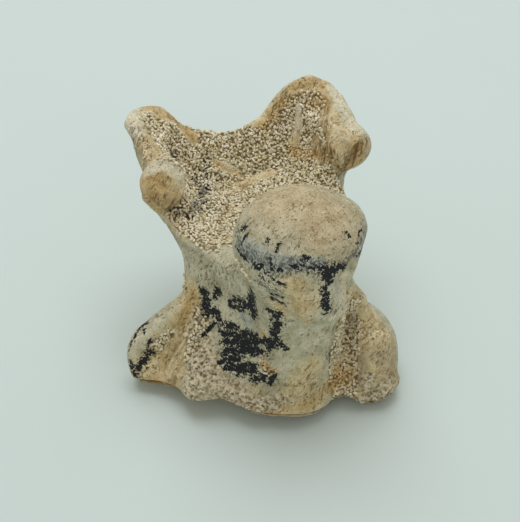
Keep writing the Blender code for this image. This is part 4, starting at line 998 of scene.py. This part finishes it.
# %% The weathering tree: each kind of wear is a texture, the value it turns at, and the field that lets it be
WEAR = {"Wave size": 2.2, "Wave height": 0.2, "Crust size": 0.4, "Crust height": 0.12,
        "Grit size": 0.34, "Grit height": 0.2, "Lump size": 0.9, "Lump height": 0.45,
        "Furrow size": 0.3, "Furrow height": 0.34, "Knob size": 1.0, "Knob height": 1.2,
        "Pit size": PIT_WIDTH, "Pit height": 0.42}
WEAR_TEXTURES = (
    ("Wave", NOISE, {"Detail": 4.0}, 0.5, None),
    ("Crust", NOISE, {"Detail": 2.0}, 0.5, None),
    ("Grit", NOISE, {"Detail": 2.0}, 0.5, "grit"),
    ("Lump", NOISE, {"Detail": 3.0}, 0.45, "sand"),
    ("Furrow", NOISE, {"Detail": 2.0}, 0.5, "fibres"),
    ("Knob", NOISE, {"Detail": 3.0}, 0.5, "pores"),
    ("Pit", CELLS, {}, 0.35, "pores"),
)
FURROW_STRETCH = 0.16

wear_tree, given, mm = new_tree("weathering", WEAR)
along_fibres = add(wear_tree, "ShaderNodeVectorRotate", {"Vector": mm, "Rotation": FIBRE_TURN},
                   rotation_type="EULER_XYZ", invert=True)
along_fibres = add(wear_tree, ARROWS, {0: along_fibres, 1: (1.0, 1.0, FURROW_STRETCH)}, operation="MULTIPLY")
pit_place = bent(wear_tree, mm)
offset = None
for name, texture, settings, middle, field_name in WEAR_TEXTURES:
    scale = add(wear_tree, MATHS, {0: 1.0, 1: given[name + " size"]}, operation="DIVIDE")
    where = {"Furrow": along_fibres, "Pit": pit_place}.get(name, mm)
    level = add(wear_tree, texture, {"Vector": where, "Scale": scale, **settings})
    level = add(wear_tree, MATHS, {0: level, 1: middle}, operation="SUBTRACT")
    level = add(wear_tree, MATHS, {0: level, 1: given[name + " height"]})
    if field_name:
        field = add(wear_tree, "GeometryNodeInputNamedAttribute", {"Name": field_name}, data_type="FLOAT")
        level = add(wear_tree, MATHS, {0: level, 1: field})
    offset = add(wear_tree, MATHS, {0: level, 1: offset or 0.0}, operation="ADD")
in_metres = add(wear_tree, MATHS, {0: offset, 1: MM})
way = add(wear_tree, ARROWS, {0: add(wear_tree, "GeometryNodeInputNormal"), "Scale": in_metres})
worn = add(wear_tree, "GeometryNodeSetPosition", {"Geometry": given[0], "Offset": way})
dressed = add(wear_tree, "GeometryNodeSetMaterial", {0: worn, "Material": bone_stone})
add(wear_tree, "NodeGroupOutput", {0: dressed})
run_tree(bone, wear_tree, WEAR)
print("weathered skin:", len(bone.data.vertices), "vertices")

# %% [markdown]
# ## The foot
# The foot of a worn bone is rounded under, so that only the middle of each flat touches the ground. Between
# the flats its belly side is lifted and bulges over the ground, which is then in shadow. Both are made by
# moving the skin's vertices, most at the ground and less with height, because a cut would leave an edge.

# %% Undercut the foot, lift it between the flats and keep the skin under the limit of triangles
# A lift has its place on the edge, its height there and its reach. BULGE is how far the skin goes sideways
# for each millimetre of lift.
FOOT_HEIGHT = 1.0
FOOT_UNDERCUT = 0.9
FOOT_ROUNDNESS = 1.4
FOOT_EDGE = 2.0
FOOT_MIDDLE = (0.0, 4.4, 0.0)
LIFT_HEIGHT = 4.4
BULGE_HEIGHT = 3.8
BULGE = (-0.3, -1.12, 0.0)
LIFTS = (
    ((-11.0, 2.8), 1.2, 3.6), ((-8.6, 0.6), 1.6, 4.2), ((-5.6, -1.4), 1.6, 4.4), ((-2.4, -3.2), 1.4, 4.0),
    ((0.8, -3.8), 0.9, 2.8), ((3.4, -2.8), 1.0, 2.4), ((6.0, -4.2), 0.4, 2.0),
)
SKIN_TRIANGLES = 190000

skin_places = places(bone.data)
outward = normals(bone.data) * np.array((1.0, 1.0, 0.0))
from_middle = skin_places - np.array(FOOT_MIDDLE)
outer = ease(np.einsum("ij,ij->i", outward, from_middle), 0.0, FOOT_EDGE)
low_share = np.clip(1 - skin_places[:, 2] / FOOT_HEIGHT, 0, 1) ** FOOT_ROUNDNESS * outer
skin_places -= outward * low_share[:, None] * FOOT_UNDERCUT
lift = np.zeros(len(skin_places))
for edge, height, reach in LIFTS:
    off_edge = np.linalg.norm(skin_places[:, :2] - np.array(edge), axis=1) / reach
    lift = np.maximum(lift, height * np.clip(1 - off_edge ** 2, 0, 1))
low_share = np.clip(1 - skin_places[:, 2] / BULGE_HEIGHT, 0, 1)
skin_places += (lift * low_share)[:, None] * np.array(BULGE)
skin_places[:, 2] += lift * np.clip(1 - skin_places[:, 2] / LIFT_HEIGHT, 0, 1) ** 2
skin_places[:, 2] = np.maximum(skin_places[:, 2], 0.0)
move(bone.data, skin_places)
now = triangles(bone.data)
modify(bone, "DECIMATE", ratio=min(1.0, SKIN_TRIANGLES / now))
settle(bone)
bone.data.shade_smooth()
print("skin triangles:", now, "->", triangles(bone.data))

# %% [markdown]
# ## Where dirt and painted shade gather, and where the bone is rubbed and painted pale
# Dirt and painted shade lie in the hollows, and the ridges are rubbed pale and carry a painted highlight. A
# copy of the skin is softened, and how far each vertex lies under or over the softened one tells a hollow from
# a ridge. It is stored as one more field, with one half for the level surface.

# %% Store the hollows
SOFTENING = 14
HOLLOW_SPAN = 0.16

ghost = put("ghost", bone.data.copy())
modify(ghost, "SMOOTH", factor=0.5, iterations=SOFTENING)
settle(ghost)
under = np.einsum("ij,ij->i", places(ghost.data) - places(bone.data), normals(bone.data))
bpy.data.objects.remove(ghost)
# This field places the painted shade in the hollows and the painted highlight on the ridges.
store(bone.data, "hollow", np.clip(0.5 + under / HOLLOW_SPAN, 0, 1))
print("hollows: depth from", round(float(under.min()), 2), "to", round(float(under.max()), 2), "mm")

# %% [markdown]
# ## The sand, grain by grain
# The matrix is coarse sand, cemented to the bone, whose grains can be counted in the photo: 0.2 to 0.3 mm
# wide and up to 0.5 mm long. A bump map would make them look pressed flat, so each grain is a small body. A
# geometry node tree scatters points over the sand's field, no two nearer than the spacing, and lays an uneven
# grain of 36 triangles on each, flat on the surface and turned at random about it, lifted a little out of the
# cement. Each grain draws a tone, and a number that says whether manganese reached it. Two pieces keep the
# basin's sand apart from the crusts in the grooves.

# %% The sand tree: where the grains lie
GRAINS = {"Grain width": 0.27, "Spacing": 0.178, "Lift": 0.12, "Thinning size": 0.6, "Field": "sand_basin",
          "Seed": 7}
GRAINS_PER_SQUARE_METRE = 5.0e7

sand_tree, given, mm = new_tree("sand_grains", GRAINS)
field = add(sand_tree, "GeometryNodeInputNamedAttribute", {"Name": given["Field"]}, data_type="FLOAT")
scale = add(sand_tree, MATHS, {0: 1.0, 1: given["Thinning size"]}, operation="DIVIDE")
thin = add(sand_tree, NOISE, {"Vector": mm, "Scale": scale, "Detail": 2.0})
thin = add(sand_tree, MATHS, {0: thin, 1: 3.0, 2: -0.5}, **TIMES_PLUS)
patchy = add(sand_tree, MATHS, {0: field, 1: thin})
chance = add(sand_tree, SPREAD, {"Value": patchy, "From Min": 0.2, "From Max": 0.5}, **SOFT)
spacing = add(sand_tree, MATHS, {0: given["Spacing"], 1: MM})
scatter = add(sand_tree, "GeometryNodeDistributePointsOnFaces",
              {"Mesh": given[0], "Distance Min": spacing, "Density Max": GRAINS_PER_SQUARE_METRE,
               "Density Factor": chance, "Seed": given["Seed"]}, distribute_method="POISSON")
lift = add(sand_tree, DRAW, {"Min": -0.3 * MM, "Max": MM, "Seed": 23}, data_type="FLOAT")
lift = add(sand_tree, MATHS, {0: lift, 1: given["Lift"]})
lift = add(sand_tree, ARROWS, {0: scatter.outputs["Normal"], "Scale": lift})
raised = add(sand_tree, "GeometryNodeSetPosition", {"Geometry": scatter, "Offset": lift})
print("grains to a square millimetre before thinning:", GRAINS_PER_SQUARE_METRE * MM ** 2)

# %% The sand tree: the grains, laid flat and turned
# SLIM and STOUT are the least and the most length, width and height of a grain, for a grain width of one.
TILT = 0.7
SLIM = (0.95, 0.7, 0.6)
STOUT = (1.7, 1.05, 0.95)

ball = add(sand_tree, "GeometryNodeMeshUVSphere", {"Segments": 6, "Rings": 4, "Radius": 1.0})
turn = add(sand_tree, DRAW, {"Min": (-TILT, -TILT, 0.0), "Max": (TILT, TILT, 6.283), "Seed": given["Seed"]},
           data_type="FLOAT_VECTOR")
turn = add(sand_tree, "FunctionNodeEulerToRotation", {0: turn})
spin = add(sand_tree, "FunctionNodeRotateRotation",
           {"Rotation": scatter.outputs["Rotation"], "Rotate By": turn}, rotation_space="LOCAL")
shape = add(sand_tree, DRAW, {"Min": SLIM, "Max": STOUT, "Seed": given["Seed"]}, data_type="FLOAT_VECTOR")
half = add(sand_tree, MATHS, {0: given["Grain width"], 1: MM / 2})
size = add(sand_tree, ARROWS, {0: shape, "Scale": half})
laid = add(sand_tree, "GeometryNodeInstanceOnPoints",
           {"Points": raised, "Instance": ball, "Rotation": spin, "Scale": size})

# %% The sand tree: draws for each grain, dents, and the end of the tree
DENT_SIZE = 0.16
DENT_DEPTH = 0.2

drawn = laid
for name, stream in (("tone", 21), ("luck", 22)):
    draw = add(sand_tree, DRAW, {"ID": add(sand_tree, "GeometryNodeInputIndex"), "Seed": stream},
               data_type="FLOAT")
    drawn = add(sand_tree, "GeometryNodeStoreNamedAttribute", {0: drawn, "Name": name, "Value": draw},
                data_type="FLOAT", domain="INSTANCE")
whole = add(sand_tree, "GeometryNodeRealizeInstances", {0: drawn})
dent = add(sand_tree, NOISE, {"Vector": mm, "Scale": 1 / DENT_SIZE, "Detail": 1.0}).outputs["Color"]
dent = add(sand_tree, ARROWS, {0: dent, 1: (0.5, 0.5, 0.5)}, operation="SUBTRACT")
dent = add(sand_tree, ARROWS, {0: dent, "Scale": DENT_DEPTH * MM})
uneven = add(sand_tree, "GeometryNodeSetPosition", {0: whole, "Offset": dent})
dressed = add(sand_tree, "GeometryNodeSetMaterial", {0: uneven, "Material": grain_stone})
add(sand_tree, "NodeGroupOutput", {0: dressed})
print("sand tree:", len(sand_tree.nodes), "nodes")

# %% Grow the grains on the skin
sand_pieces = []
for name, field_name in (("matrix_sand", "sand_basin"), ("groove_sand", "sand_grooves")):
    piece = put(name, bone.data.copy())
    run_tree(piece, sand_tree, {**GRAINS, "Field": field_name})
    piece.data.name = name
    sand_pieces.append(piece)
    print(name + ":", triangles(piece.data), "triangles")

# %% [markdown]
# ## Riding on the frame
# The skin stands for all bone nodes and the basin's sand for the canal filling. All ride on the one body.

# %% Replace the nodes
BONE_NODES = [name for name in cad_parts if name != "matrix_fill"]
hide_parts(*BONE_NODES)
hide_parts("matrix_fill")
for piece, slot_name in ((bone, "centrum"), (sand_pieces[0], "matrix_fill"), (sand_pieces[1], "matrix_fill")):
    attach(piece, "root")
print("nodes replaced by the skin:", len(BONE_NODES))

# %% [markdown]
# ## Floor, light and camera
# The photo was taken on a pale sheet under soft light from above and a little behind, looking down at about
# 40 degrees from the snake's front left. The camera keeps the photo's frame: its distance, its angle and the
# pixel where the middle of the bone falls are all it needs.

# %% The pale sheet
SHEET_HALF = 600
PAPER_CLOUD = 30

sheet_mesh = bpy.data.meshes.new("pale_sheet")
corners = [(sx * SHEET_HALF * MM, sy * SHEET_HALF * MM, 0) for sx, sy in ((-1, -1), (1, -1), (1, 1), (-1, 1))]
sheet_mesh.from_pydata(corners, [], [(0, 1, 2, 3)])
sheet = put("pale_sheet", sheet_mesh)
matt_paper, tree, shader, mm = new_material("matt_white_paper")
cloud = add(tree, NOISE, {"Vector": mm, "Scale": 1 / PAPER_CLOUD, "Detail": 4.0})
paper = add(tree, BLEND, {"Factor": cloud, "A": linear("#CFDCD8"), "B": linear("#D3DFDB")})
finish(tree, shader, paper, None, 0.9, 0.1)
sheet.data.materials.append(matt_paper)
print("sheet:", 2 * SHEET_HALF, "mm wide")

# %% The light: a pale room, and a large soft lamp above and a little behind
ROOM_COLOUR = linear("#FFFAF0")
ROOM_STRENGTH = 0.44
BONE_MIDDLE = (0, 6, 8)
# Lamp: place and width in millimetres, power in watts and colour
LAMPS = {
    "window_above": ((18, 90, 244), 220, 0.43, "#F4F9FF"),
    "soft_front": ((-40, -210, 110), 160, 0.06, "#FFFFFF"),
}
room = bpy.data.worlds.new("pale_room")
room.use_nodes = True
background = room.node_tree.nodes["Background"]
background.inputs["Color"].default_value = ROOM_COLOUR
background.inputs["Strength"].default_value = ROOM_STRENGTH
bpy.context.scene.world = room
for name, (place, width, power, tint) in LAMPS.items():
    lamp = bpy.data.lights.new(name, "AREA")
    lamp.size = width * MM
    lamp.energy = power
    lamp.color = linear(tint)[:3]
    holder = put(name, lamp)
    spot = Vector(in_frame(place))
    holder.location = spot
    holder.rotation_euler = (Vector(in_frame(BONE_MIDDLE)) - spot).to_track_quat("-Z", "Y").to_euler()
bpy.context.scene.view_settings.view_transform = "Standard"
print("lamps:", ", ".join(LAMPS))

# %% The camera
AZIMUTH = math.radians(-19)
ELEVATION = math.radians(40)
DISTANCE = 115
PIXELS_PER_MM = 13
IMAGE = (520, 522)
AIM = (0.0, 0.0, 16.8)
AIM_PIXEL = (300, 230)
SENSOR = 36

right = Vector((math.cos(AZIMUTH), math.sin(AZIMUTH), 0))
level = Vector((math.sin(AZIMUTH), -math.cos(AZIMUTH), 0))
back = level * math.cos(ELEVATION) + Vector((0, 0, math.sin(ELEVATION)))
up = back.cross(right)
across = (AIM_PIXEL[0] - IMAGE[0] / 2) / PIXELS_PER_MM
down = (AIM_PIXEL[1] - IMAGE[1] / 2) / PIXELS_PER_MM
eye = Vector(in_frame(AIM)) + (back * DISTANCE - right * across + up * down) * MM
lens = bpy.data.cameras.new("camera")
lens.sensor_width = SENSOR
lens.lens = DISTANCE * PIXELS_PER_MM * SENSOR / max(IMAGE)
lens.clip_start = MM
camera = put("camera", lens)
camera.matrix_world = Matrix.Translation(eye) @ Matrix((right, up, back)).transposed().to_4x4()
bpy.context.scene.camera = camera
print("camera at", np.round(np.array(eye) / MM, 2), "mm, lens", round(lens.lens, 1), "mm")
